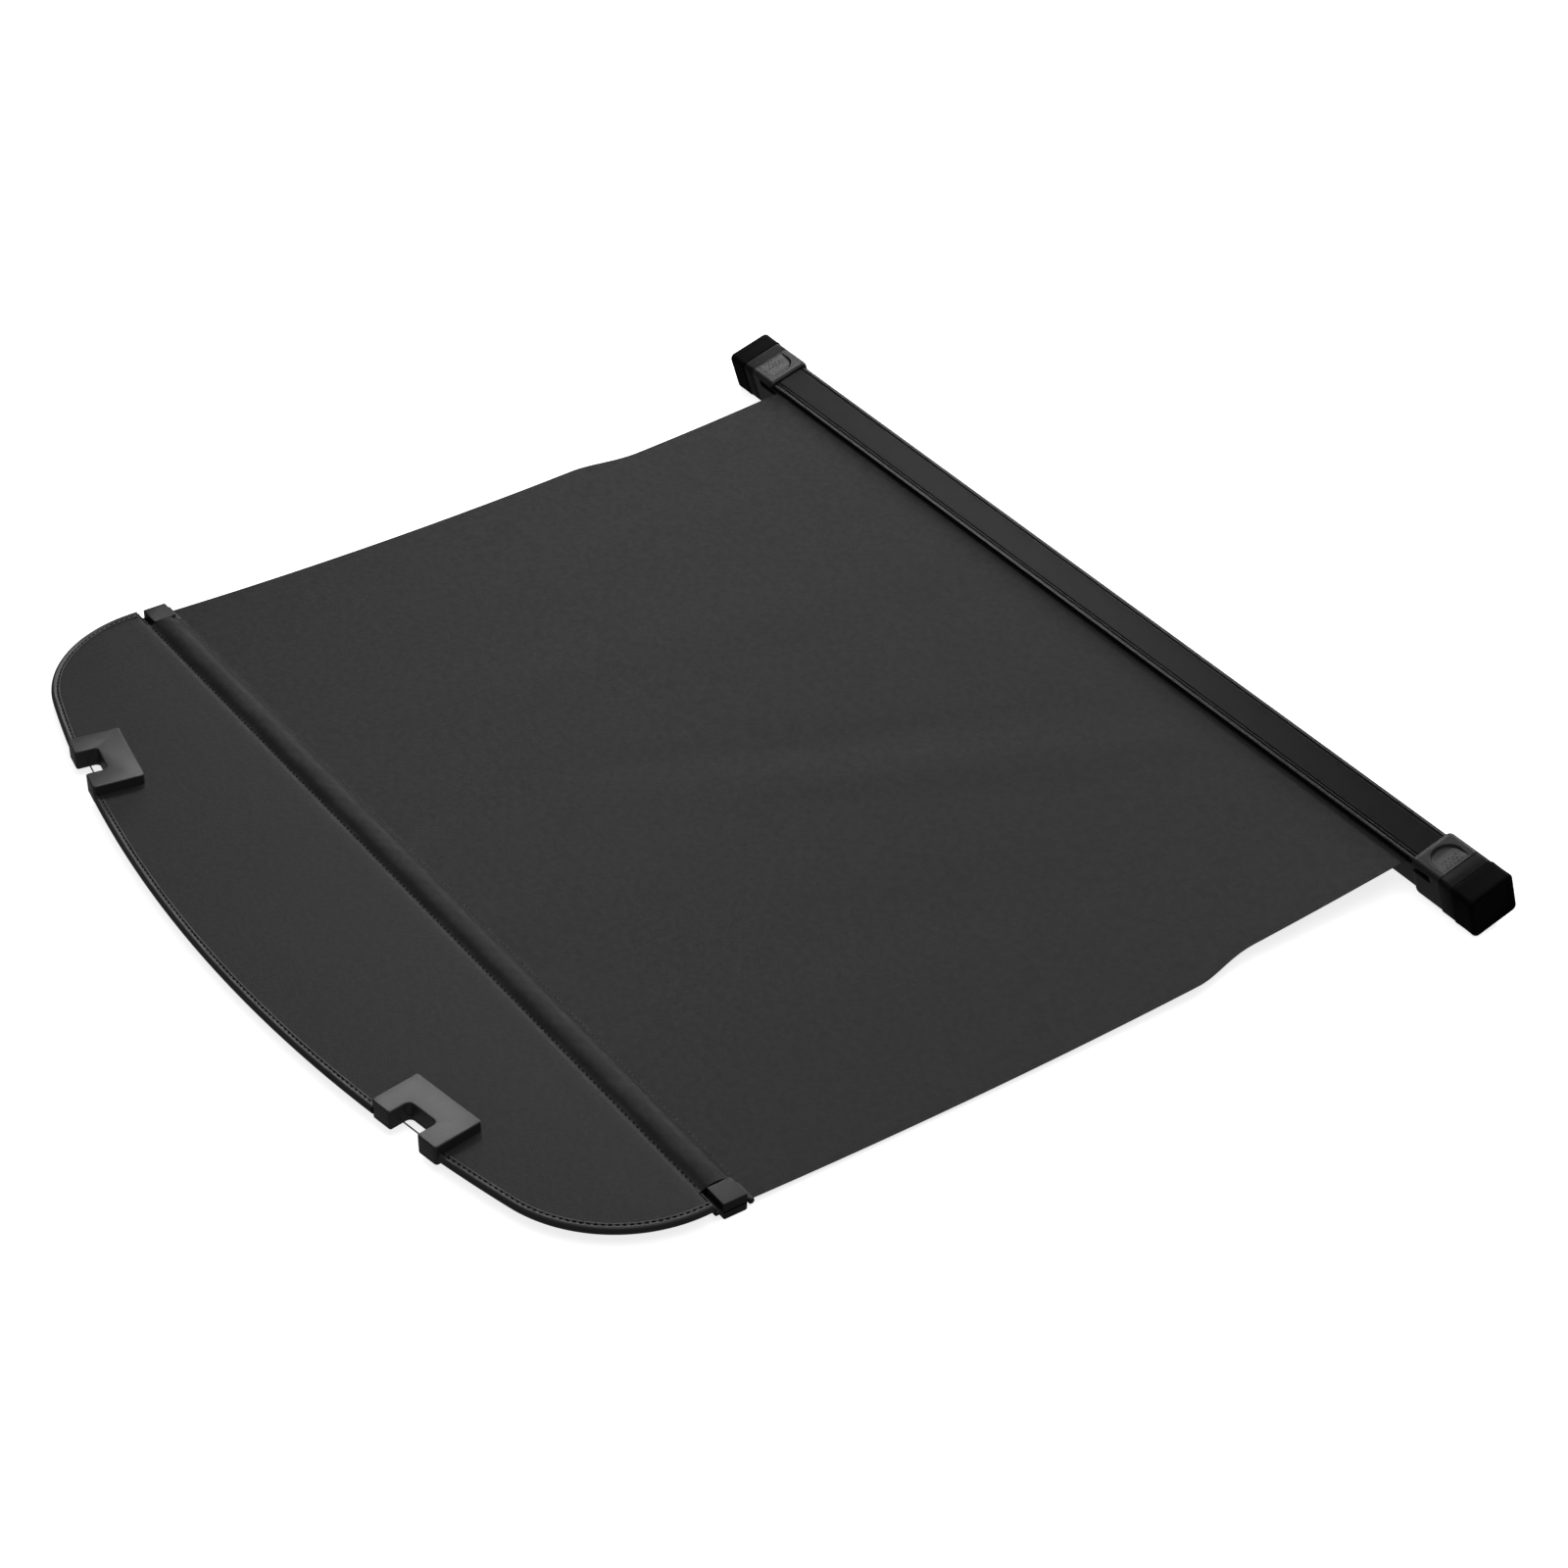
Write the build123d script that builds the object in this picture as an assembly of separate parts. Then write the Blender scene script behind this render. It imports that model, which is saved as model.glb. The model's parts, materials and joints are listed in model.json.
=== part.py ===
from build123d import *
import os
from math import atan2, cos, degrees, radians, sin

os.makedirs("parts", exist_ok=True)

# A retractable cargo cover: a spring-roller cassette, a pull-out sheet with a pull bar, and a
# stiff rear flap.  +X runs along the cassette, +Y from the flap to the cassette, +Z up.
# The origin is on the floor, at the middle of the footprint.

# ---- Driving dimensions, in millimetres and degrees ----
COVER_LENGTH = 1060.0      # between the two rubber end faces
COVER_REACH = 897.1        # from the back of the cassette to the tip of the flap

# Cassette, in its own axes: X along it, Y to the rear, Z up, origin at the middle of its section
CASE_TILT = 16.0           # its top leans towards the sheet
CASE_Z = 24.8              # height of its middle
CASE_BACK = 26.6           # from its middle to its rearmost point
CASE_W = 37.8              # housing section
CASE_H = 34.8
CASE_WALL = 1.4
CASE_HALF = 484.0          # half the housing's length
CASE_CORNER = 3.0
STRIP_T = 1.2
STRIP_FRONT = 6.5          # width of the housing's front lip beside the top strip
STRIP_BACK = 5.7           # and of its rear lip
SLOT_LOW = 9.3
SLOT_HIGH = 15.0
SLOT_HALF = 470.0
GUIDE_T = 1.2
GUIDE_W = 2.6
BOSS_R = 2.5
BOSS_Y = 14.9
BOSS_Z = 13.4

# Push-in ends
SLEEVE_W = 43.8
SLEEVE_H = 41.2
SLEEVE_CORNER = 4.5
SLEEVE_IN = 460.0          # where the sleeve's mouth is
BAND_IN = 491.0            # where the plain end band begins
BOOT_IN = 505.6            # where the rubber boot begins
BAND_W = 44.6
BAND_H = 40.4
BAND_CORNER = 5.0
BOOT_W = 46.0
BOOT_H = 40.8
BOOT_CORNER = 5.0
END_TRAVEL = 13.0
FIT = 0.5                  # play between the sleeve and the housing
RECESS_R = 14.5
RECESS_LENGTH = 26.5
RECESS_DEPTH = 1.9
RECESS_RISE = 0.4          # depth left at its outer side
RECESS_EDGE = 490.5        # straight outer side of the thumb recess
DOT_R = 0.55
PLUG_FLANGE = 2.5
PLUG_SPIGOT = 13.0
PLUG_PLAY = 0.15
BLOCK_PLATE = 4.0
CUP_R = 9.0
CUP_LENGTH = 13.5
SPRING_POCKET_R = 6.5
SPRING_R = 5.0
SPRING_WIRE_R = 0.6
STOP_X = 478.0
STOP_R = 2.0

# Roller
ROLLER_Z = -1.0            # roller axis below the middle of the section
TUBE_R = 8.5
TUBE_WALL = 1.0
WOUND_R = 9.4
ROLLER_HALF = 468.5
SHAFT_R = 3.0
RUNNING = 0.05             # radial play of a shaft in its hole
BUSH_R = 4.5
SPRING_LOW_X = 330.0
SPRING_HIGH_X = 452.0

# Sheet and pull bar
BAR_REACH = 680.0          # from the cassette's middle to the bar's middle
SHEET_T = 0.6
SHEET_HALF_SLOT = 450.5    # half the sheet's width at the cassette
SHEET_HALF_BAR = 467.7     # and at the bar
STEP_NEAR = 185.0          # where the side step begins, from the cassette's middle
STEP_FAR = 245.0           # and where it ends
SHEET_SAG_Z = 8.5          # height half way along
SHEET_BAR_Z = 6.8          # height where it meets the bar sleeve
BAR_HALF = 447.2
BAR_W = 18.0
BAR_H = 13.2
BAR_Z = 8.7
BAR_WALL = 1.3
POCKET_HALF = 16.0         # half the width of the sewn bar sleeve
CAP_LENGTH = 22.9
CAP_W = 22.0
CAP_TOP = 16.0
CAP_FLANGE_W = 31.0
CAP_FLANGE_Z = 6.6
CAP_FLANGE_T = 2.4
CAP_FOOT_W = 21.0

# Flap
FOLD_GAP = 0.8             # from the bar sleeve's edge to the fold line
FOLD_Z = 13.0
FLAP_GAP = 4.0             # from the fold line to the stiff part
FLAP_Z = 14.5              # middle of its thickness
BOARD_T = 2.4
SKIN_T = 0.9
FLAP_ARC_R = 1448.0
FLAP_CORNER_R = 118.0
FLAP_HALF = 470.2          # half its width
PIPING_W = 7.5
PIPING_T = 6.0
PIPING_WRAP = 3.0          # thickness of the piping outside the skins' edge

# Hook brackets, in their own axes: X along the flap's edge, Y inwards
HOOK_X = 270.5
HOOK_REACH = 822.0
HOOK_TURN = 9.2
HOOK_W = 76.0
HOOK_D = 44.5
HOOK_TOP = 26.0
HOOK_BASE = 8.0
HOOK_R = 3.0
HOOK_TIP_R = 2.2           # corners beside the notch's mouth
HOOK_EDGE = 1.1            # rounding of the top and bottom edges
HOOK_WALL = 2.5
NOTCH_W = 32.4
NOTCH_D = 19.4
NOTCH_R = 4.0
POCKET_Y = -0.5            # how deep the flap is cut away under a bracket
WIRE_R = 0.6
WIRE_Y = -11.5
WIRE_HALF = 24.0
HOOK_SCREW_X = 27.0
HOOK_SCREW_Y = 11.0

# ---- Worked-out dimensions ----
HALF = COVER_LENGTH / 2
CASE_Y = COVER_REACH / 2 - CASE_BACK
BAR_Y = CASE_Y - BAR_REACH
FOLD_Y = BAR_Y - POCKET_HALF - FOLD_GAP
FLAP_TIP_Y = -COVER_REACH / 2
HOOK_Y = CASE_Y - HOOK_REACH
SKIN_TOP = FLAP_Z + BOARD_T / 2 + SKIN_T
SKIN_BASE = FLAP_Z - BOARD_T / 2 - SKIN_T


# ---- Helpers ----
def along_x(profile, low, high):
    """Extrudes a YZ profile from one X to another."""
    return extrude(Plane.YZ.offset(low) * profile, high - low)


def slab(outline, low, high):
    """Extrudes an XY outline from one Z to another."""
    return extrude(Plane.XY.offset(low) * outline, high - low)


def block(x, y, z):
    """A box between two X, two Y and two Z values."""
    middle = [(low + high) / 2 for low, high in (x, y, z)]
    return Pos(*middle) * Box(*[high - low for low, high in (x, y, z)])


def rod(radius, low, high, y=0.0, z=0.0):
    """A round bar along X."""
    return Pos((low + high) / 2, y, z) * Rot(0, 90, 0) * Cylinder(radius, high - low)


def pillar(radius, x, y, low, high):
    """A round bar along Z."""
    return Pos(x, y, (low + high) / 2) * Cylinder(radius, high - low)


def rounded(width, height, radius):
    return RectangleRounded(width, height, radius)


def seat(shape):
    """Puts a piece made in the cassette's own axes in its place."""
    return Pos(0, CASE_Y, CASE_Z) * Rot(CASE_TILT, 0, 0) * shape


def case_point(y, z):
    """A point of the cassette's section, in the cover's axes."""
    turn = radians(CASE_TILT)
    return CASE_Y + y * cos(turn) - z * sin(turn), CASE_Z + y * sin(turn) + z * cos(turn)


def both_sides(name, shape):
    """Writes the right-hand piece and its mirror image."""
    export_step(shape, f"parts/{name}_right.step")
    export_step(mirror(shape, Plane.YZ), f"parts/{name}_left.step")


def save(name, shape):
    export_step(shape, f"parts/{name}.step")


# ---- Cassette ----
def case_bore(play):
    """The housing's inside, with the screw bosses left out."""
    inner = rounded(CASE_W - 2 * (CASE_WALL + play), CASE_H - 2 * (CASE_WALL + play), CASE_CORNER - CASE_WALL)
    for side in (1, -1):
        inner -= Pos(side * BOSS_Y, side * BOSS_Z) * Circle(BOSS_R + play)
        inner -= Pos(side * (BOSS_Y + BOSS_R), side * (BOSS_Z + BOSS_R)) * Rectangle(2 * BOSS_R, 3 * BOSS_R)
    return inner


def cassette_housing():
    """An extrusion open along the front, with a channel for the top strip."""
    profile = rounded(CASE_W, CASE_H, CASE_CORNER) - case_bore(0)
    for side in (1, -1):
        profile -= Pos(side * BOSS_Y, side * BOSS_Z) * Circle(BOSS_R / 2)
    body = along_x(profile, -CASE_HALF, CASE_HALF)
    front = -CASE_W / 2
    body -= block((-SLOT_HALF, SLOT_HALF), (front - 1, front + 2 * CASE_WALL), (SLOT_LOW, SLOT_HIGH))
    body -= block((-CASE_HALF - 1, CASE_HALF + 1), strip_span(), (CASE_H / 2 - STRIP_T / 2, CASE_H))
    for side in (1, -1):
        body -= pillar(STOP_R, side * STOP_X, 0, -CASE_H / 2 - 1, -CASE_H / 2 + 2 * CASE_WALL)
    return seat(body)


def strip_span():
    return (-CASE_W / 2 + STRIP_FRONT, CASE_W / 2 - STRIP_BACK)


def top_strip():
    """The black strip that lies in the housing's top channel."""
    low = CASE_H / 2 - STRIP_T / 2
    front, back = strip_span()
    strip = block((-CASE_HALF, CASE_HALF), (front + 0.1, back - 0.1), (low, low + STRIP_T / 2 + 0.1))
    return seat(strip)


def slot_guide():
    """A plastic strip on the slot's lower edge, which the sheet slides over."""
    front = -CASE_W / 2 - 0.5
    guide = block((-SLOT_HALF + 1, SLOT_HALF - 1), (front, front + GUIDE_W), (SLOT_LOW, SLOT_LOW + GUIDE_T))
    guide = fillet(guide.edges().filter_by(Axis.X).group_by(Axis.Z)[-1], GUIDE_T * 0.45)
    return seat(guide)


def end_plug():
    """The plug that closes the housing and carries one end of the roller."""
    spigot = along_x(case_bore(PLUG_PLAY), CASE_HALF - PLUG_SPIGOT, CASE_HALF)
    flange = along_x(rounded(CASE_W, CASE_H - 1, CASE_CORNER), CASE_HALF, CASE_HALF + PLUG_FLANGE)
    plug = spigot + flange
    plug -= pillar(STOP_R, STOP_X, 0, -CASE_H / 2 - 1, -CASE_H / 2 + 6)
    for side in (1, -1):
        plug -= rod(BOSS_R / 2 + 0.3, CASE_HALF - 1, CASE_HALF + 5, side * BOSS_Y, side * BOSS_Z)
    return plug


def end_plug_screws():
    """Four self-tapping screws that hold the plugs on the housing's bosses."""
    screws = []
    for side in (1, -1):
        shank = rod(BOSS_R / 2 - 0.02, CASE_HALF - 12, CASE_HALF + PLUG_FLANGE, side * BOSS_Y, side * BOSS_Z)
        seat_x = CASE_HALF + PLUG_FLANGE
        head = rod(BOSS_R, seat_x, seat_x + 1.6, side * BOSS_Y, side * BOSS_Z)
        screws += [shank + head, mirror(shank + head, Plane.YZ)]
    return seat(Compound(children=screws))


def cassette_parts():
    save("cassette_housing", cassette_housing())
    save("cassette_top_strip", top_strip())
    save("slot_guide", slot_guide())
    plug = end_plug()
    bush_hole = rod(BUSH_R, CASE_HALF - PLUG_SPIGOT - 1, CASE_HALF - 2, 0, ROLLER_Z)
    save("end_plug_left", seat(mirror(plug - bush_hole, Plane.YZ)))
    shaft_hole = rod(SHAFT_R, CASE_HALF - PLUG_SPIGOT - 1, CASE_HALF - 2, 0, ROLLER_Z)
    save("end_plug_right", seat(plug - shaft_hole))
    save("end_plug_screws", end_plug_screws())
    bush = rod(BUSH_R, -CASE_HALF + 2, -CASE_HALF + PLUG_SPIGOT, 0, ROLLER_Z)
    bush -= rod(SHAFT_R + RUNNING, -CASE_HALF + 2, -CASE_HALF + PLUG_SPIGOT, 0, ROLLER_Z)
    save("idle_bush", seat(bush))


# ---- Roller and its spring ----
def roller_parts():
    inside = TUBE_R - TUBE_WALL
    tube = rod(TUBE_R, -ROLLER_HALF, ROLLER_HALF, 0, ROLLER_Z)
    tube -= rod(inside, -ROLLER_HALF - 1, ROLLER_HALF + 1, 0, ROLLER_Z)
    save("roller_tube", seat(tube))
    turns = rod(WOUND_R, -SHEET_HALF_SLOT, SHEET_HALF_SLOT, 0, ROLLER_Z)
    turns -= rod(TUBE_R, -SHEET_HALF_SLOT - 1, SHEET_HALF_SLOT + 1, 0, ROLLER_Z)
    save("wound_cloth", seat(turns))
    idle = rod(inside, -ROLLER_HALF, -ROLLER_HALF + 18, 0, ROLLER_Z)
    idle += rod(TUBE_R, -ROLLER_HALF - 1.2, -ROLLER_HALF, 0, ROLLER_Z)
    idle += rod(SHAFT_R, -CASE_HALF + 3, -ROLLER_HALF, 0, ROLLER_Z)
    save("roller_cap_idle", seat(idle))
    drive = rod(inside, SPRING_HIGH_X, ROLLER_HALF, 0, ROLLER_Z)
    drive += rod(TUBE_R, ROLLER_HALF, ROLLER_HALF + 1.2, 0, ROLLER_Z)
    drive -= rod(SHAFT_R + RUNNING, SPRING_HIGH_X - 1, ROLLER_HALF + 2, 0, ROLLER_Z)
    save("roller_cap_drive", seat(drive))
    shaft = rod(SHAFT_R, SPRING_LOW_X - 14, CASE_HALF - 2, 0, ROLLER_Z)
    save("spring_shaft", seat(shaft))
    anchor = rod(inside - 0.5, SPRING_LOW_X - 12, SPRING_LOW_X, 0, ROLLER_Z)
    anchor -= rod(SHAFT_R, SPRING_LOW_X - 13, SPRING_LOW_X + 1, 0, ROLLER_Z)
    save("spring_anchor", seat(anchor))
    coil = rod(inside - 1.0, SPRING_LOW_X, SPRING_HIGH_X, 0, ROLLER_Z)
    coil -= rod(SHAFT_R + 1.5, SPRING_LOW_X - 1, SPRING_HIGH_X + 1, 0, ROLLER_Z)
    save("torsion_spring", seat(coil))


# ---- Push-in ends ----
def thumb_recess():
    """The D-shaped hollow in the sleeve's top: deepest at its arc, rising to its straight side."""
    top = SLEEVE_H / 2
    deep = top - RECESS_DEPTH
    inner = RECESS_EDGE - RECESS_LENGTH
    points = [(inner, deep), (RECESS_EDGE, top - RECESS_RISE), (RECESS_EDGE, top + 2), (inner, top + 2)]
    wedge = Polyline(*points, close=True)
    ramp = extrude(Plane.XZ * make_face(wedge), RECESS_R, both=True)
    outline = pillar(RECESS_R, inner + RECESS_R, 0, deep - 1, top + 2)
    outline += block((inner + RECESS_R, RECESS_EDGE), (-RECESS_R, RECESS_R), (deep - 1, top + 2))
    return ramp & outline


def recess_dots():
    """Small raised dots in three rows on the recess's ramp."""
    dots = []
    for row, count in enumerate((5, 4, 5)):
        x = RECESS_EDGE - 3.2 - 3.4 * row
        drop = (RECESS_DEPTH - RECESS_RISE) * (RECESS_EDGE - x) / RECESS_LENGTH
        for place in range(count):
            y = (place - (count - 1) / 2) * 3.6
            dots.append(Pos(x, y, SLEEVE_H / 2 - RECESS_RISE - drop - 0.2) * Sphere(DOT_R))
    return dots


def grip_sleeve():
    """The sleeve that slides over the housing's end, cut away where the sheet passes."""
    outer = along_x(rounded(SLEEVE_W, SLEEVE_H, SLEEVE_CORNER), SLEEVE_IN, BAND_IN)
    bore = along_x(rounded(CASE_W + 2 * FIT, CASE_H + 2 * FIT, CASE_CORNER), SLEEVE_IN - 1, BAND_IN + 1)
    sleeve = outer - bore - thumb_recess()
    sleeve += recess_dots()
    front = (-SLEEVE_W, -CASE_W / 2 + 1)
    sleeve -= block((SLEEVE_IN - 1, BAND_IN - 4), front, (SLOT_LOW - 1, SLOT_HIGH + 1))
    return seat(sleeve - stop_channel(STOP_X - STOP_R - 1, BAND_IN + 1))


def end_block():
    """The plain band and its floor, with a cup that holds the push spring and the boot."""
    shell = along_x(rounded(BAND_W, BAND_H, BAND_CORNER), BAND_IN, BOOT_IN)
    bore = rounded(CASE_W + 2 * FIT, CASE_H + 2 * FIT, CASE_CORNER)
    shell -= along_x(bore, BAND_IN - 1, BOOT_IN - BLOCK_PLATE)
    shell += rod(CUP_R, BOOT_IN - 0.5, BOOT_IN + CUP_LENGTH)
    shell -= rod(SPRING_POCKET_R, BOOT_IN - BLOCK_PLATE - 1, BOOT_IN + CUP_LENGTH - 2)
    return seat(shell - stop_channel(BAND_IN - 1, BAND_IN + STOP_R + 1.5))


def stop_channel(low, high):
    """The channel under an end that the stop screw runs in."""
    return block((low, high), (-STOP_R - 1, STOP_R + 1), (-SLEEVE_H, -CASE_H / 2))


def rubber_boot():
    """The rubber end that is pushed into the vehicle's trim socket."""
    boot = along_x(rounded(BOOT_W, BOOT_H, BOOT_CORNER), BOOT_IN, HALF)
    boot = fillet(boot.faces().sort_by(Axis.X)[-1].edges(), 3.2)
    return seat(boot - rod(CUP_R + 0.05, BOOT_IN - 1, BOOT_IN + CUP_LENGTH + 0.2))


def push_spring():
    """The compression spring that pushes an end outwards."""
    start = CASE_HALF + PLUG_FLANGE + SPRING_WIRE_R + 0.05
    length = BOOT_IN + CUP_LENGTH - 2 - SPRING_WIRE_R - 0.05 - start
    path = Helix(pitch=length / 7, height=length, radius=SPRING_R)
    wire = Plane(origin=path @ 0, z_dir=path % 0) * Circle(SPRING_WIRE_R)
    spring = sweep(wire, path=path)
    return seat(Pos(start, 0, 0) * Rot(0, 90, 0) * spring)


def stop_screws():
    """One screw under each end of the housing; it runs in the sleeve's channel as a stop."""
    base = -CASE_H / 2
    screw = pillar(STOP_R - 0.02, STOP_X, 0, base, base + 5)
    screw += pillar(STOP_R + 0.8, STOP_X, 0, base - 1.4, base)
    return seat(Compound(children=[screw, mirror(screw, Plane.YZ)]))


def end_parts():
    both_sides("grip_sleeve", grip_sleeve())
    both_sides("end_block", end_block())
    both_sides("rubber_boot", rubber_boot())
    both_sides("push_spring", push_spring())
    save("sleeve_stop_screws", stop_screws())


# ---- Sheet and pull bar ----
def sheet_profile():
    """The sheet from the side: off the roll, through the slot and down a shallow sag to the bar."""
    roll = case_point(2.0, ROLLER_Z + WOUND_R + SHEET_T / 2 + 0.1)
    slot = case_point(-CASE_W / 2, (SLOT_LOW + SLOT_HIGH) / 2)
    bar = (BAR_Y + POCKET_HALF + 0.2, SHEET_BAR_Z)
    middle = ((slot[0] + bar[0]) / 2, SHEET_SAG_Z)
    half = SHEET_T / 2
    roll_up, slot_up, mid_up, bar_up = [(y, z + half) for y, z in (roll, slot, middle, bar)]
    roll_down, slot_down, mid_down, bar_down = [(y, z - half) for y, z in (roll, slot, middle, bar)]
    edges = Line(roll_up, slot_up) + ThreePointArc(slot_up, mid_up, bar_up) + Line(bar_up, bar_down)
    edges += ThreePointArc(bar_down, mid_down, slot_down)
    edges += Line(slot_down, roll_down) + Line(roll_down, roll_up)
    return make_face(edges)


def sheet_outline():
    """The sheet from above: straight sides with a smooth step on each."""
    near, far = CASE_Y - STEP_NEAR, CASE_Y - STEP_FAR
    back, front = CASE_Y + 30, BAR_Y
    wide = SHEET_HALF_BAR - 2
    inner, outer = SHEET_HALF_SLOT + 2, SHEET_HALF_BAR
    down = (0, -1)
    right = Line((SHEET_HALF_SLOT, back), (inner, near))
    right += Spline((inner, near), (wide, far), tangents=(down, down))
    right += Line((wide, far), (outer, front))
    left = mirror(right, Plane.YZ)
    across = Line((-SHEET_HALF_SLOT, back), (SHEET_HALF_SLOT, back)) + Line((outer, front), (-outer, front))
    return make_face(right + left + across)


def cover_sheet():
    sheet = along_x(sheet_profile(), -SHEET_HALF_BAR, SHEET_HALF_BAR)
    return sheet & slab(sheet_outline(), -1, 60)


def bar_sleeve():
    """The pocket of cloth sewn round the pull bar, flat at its two seams."""
    upper = Spline((POCKET_HALF, 7.6), (8, 14.3), (-2, 16.9), (-9, 16.0), (-POCKET_HALF, 13.4))
    lower = Spline((-POCKET_HALF, 12.2), (-11.5, 5.0), (-4, 0.9), (5, 0.8), (11.5, 3.2), (POCKET_HALF, 6.2))
    edges = upper + Line((-POCKET_HALF, 13.4), (-POCKET_HALF, 12.2))
    edges += lower + Line((POCKET_HALF, 6.2), (POCKET_HALF, 7.6))
    profile = Pos(BAR_Y, 0) * make_face(edges)
    profile -= Pos(BAR_Y, BAR_Z) * rounded(BAR_W + 0.2, BAR_H + 0.2, 5.1)
    return along_x(profile, -BAR_HALF, BAR_HALF)


def pull_bar():
    profile = rounded(BAR_W, BAR_H, 5) - rounded(BAR_W - 2 * BAR_WALL, BAR_H - 2 * BAR_WALL, 5 - BAR_WALL)
    return along_x(Pos(BAR_Y, BAR_Z) * profile, -BAR_HALF, BAR_HALF)


def bar_cap():
    """A moulded end: a square head, a thin flange, a tapered foot and a spigot in the bar."""
    start, end = BAR_HALF + 0.2, BAR_HALF + 0.2 + CAP_LENGTH
    flange_top = CAP_FLANGE_Z + CAP_FLANGE_T
    y = BAR_Y
    head = block((start, end), (y - CAP_W / 2, y + CAP_W / 2), (flange_top, CAP_TOP))
    head = fillet(head.edges().group_by(Axis.Z)[-1], 0.8)
    flange_x = (start, end - 1.2)
    flange = block(flange_x, (y - CAP_FLANGE_W / 2, y + CAP_FLANGE_W / 2), (CAP_FLANGE_Z, flange_top))
    foot_half, neck_half = CAP_FOOT_W / 2, CAP_W / 2
    low, high = 0, CAP_FLANGE_Z
    points = [(y - neck_half, high), (y - foot_half, low), (y + foot_half, low), (y + neck_half, high)]
    foot = Polyline(*points, close=True)
    cap = head + flange + along_x(make_face(foot), start, end - 0.6)
    cap += rod(2.6, end - 2, end + 0.9, y + CAP_FLANGE_W / 2 - 2.6, CAP_FLANGE_Z + CAP_FLANGE_T / 2)
    spigot = rounded(BAR_W - 2 * BAR_WALL - 0.1, BAR_H - 2 * BAR_WALL - 0.1, 5 - BAR_WALL)
    return cap + along_x(Pos(y, BAR_Z) * spigot, start - 14, start)


def bar_parts():
    save("cover_sheet", cover_sheet())
    save("bar_sleeve", bar_sleeve())
    save("pull_bar", pull_bar())
    both_sides("bar_cap", bar_cap())


# ---- Flap ----
def flap_outline(inset):
    """The flap from above, drawn in by inset along its sides and its curved edge."""
    near = FOLD_Y - FLAP_GAP
    far = FLAP_TIP_Y - 20
    sides = Pos(0, (near + far) / 2) * Rectangle(2 * (FLAP_HALF - inset), near - far)
    outline = sides & Pos(0, FLAP_TIP_Y + FLAP_ARC_R) * Circle(FLAP_ARC_R - inset)
    corners = outline.vertices().group_by(Axis.Y)[0]
    return fillet(corners, FLAP_CORNER_R - inset)


def at_hooks(shape):
    """A piece made in a bracket's own axes, at both brackets."""
    right = Pos(HOOK_X, HOOK_Y, 0) * Rot(0, 0, HOOK_TURN) * shape
    return [right, mirror(right, Plane.YZ)]


def hook_cuts(depth):
    """What the brackets take out of the flap: a pocket at its edge and the screw holes."""
    half = HOOK_W / 2 + 0.1
    pocket = block((-half, half), (-HOOK_D, depth), (0, 40))
    screws = [pillar(2.2, side * HOOK_SCREW_X, HOOK_SCREW_Y, 0, 40) for side in (1, -1)]
    return at_hooks(pocket) + at_hooks(screws[0]) + at_hooks(screws[1])


def flap_board():
    board = slab(flap_outline(PIPING_W + 1), FLAP_Z - BOARD_T / 2, FLAP_Z + BOARD_T / 2)
    return board - hook_cuts(POCKET_Y)


def flap_skin(low):
    skin = slab(flap_outline(PIPING_WRAP + 0.1), low, low + SKIN_T)
    return skin - hook_cuts(POCKET_Y)


def flap_piping():
    """The binding folded round the flap's edge, left out under the brackets."""
    low, high = FLAP_Z - PIPING_T / 2, FLAP_Z + PIPING_T / 2
    rim = slab(flap_outline(0), low, high)
    rim = fillet(rim.edges().filter_by(lambda e: on_edge(e)), 2.0)
    rim -= slab(flap_outline(PIPING_W), low - 1, high + 1)
    rim -= slab(flap_outline(PIPING_WRAP), SKIN_BASE - 0.05, SKIN_TOP + 0.05)
    half = HOOK_W / 2 + 0.1
    return rim - at_hooks(block((-half, half), (-HOOK_D, HOOK_D), (0, 40)))


def on_edge(edge):
    """True for the flat outline edges, except the one along the fold."""
    centre = edge.center()
    flat = abs(edge.bounding_box().size.Z) < 0.01
    return flat and centre.Y < FOLD_Y - FLAP_GAP - 0.5


def notch():
    """The notch that is open at the flap's edge, with rounded inner corners."""
    front = -HOOK_D / 2
    shape = block((-NOTCH_W / 2, NOTCH_W / 2), (front - 20, front + NOTCH_D), (0, 60))
    inner = shape.edges().filter_by(Axis.Z).group_by(Axis.Y)[-1]
    return fillet(inner, NOTCH_R)


def hook_blank():
    """The bracket's outside, both halves together."""
    blank = block((-HOOK_W / 2, HOOK_W / 2), (-HOOK_D / 2, HOOK_D / 2), (HOOK_BASE, HOOK_TOP))
    blank = fillet(blank.edges().filter_by(Axis.Z), HOOK_R)
    blank -= notch()
    tips = blank.edges().filter_by(Axis.Z).filter_by(lambda e: on_tip(e))
    blank = fillet(tips, HOOK_TIP_R)
    blank = fillet(blank.faces().sort_by(Axis.Z)[-1].edges(), HOOK_EDGE)
    return fillet(blank.faces().sort_by(Axis.Z)[0].edges(), HOOK_EDGE)


def on_tip(edge):
    """True for the corners between the notch and the bracket's front."""
    centre = edge.center()
    return abs(abs(centre.X) - NOTCH_W / 2) < 0.1 and centre.Y < -HOOK_D / 2 + 0.1


def hook_wire(radius, half):
    return rod(radius, -half, half, WIRE_Y, SKIN_BASE)


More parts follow.
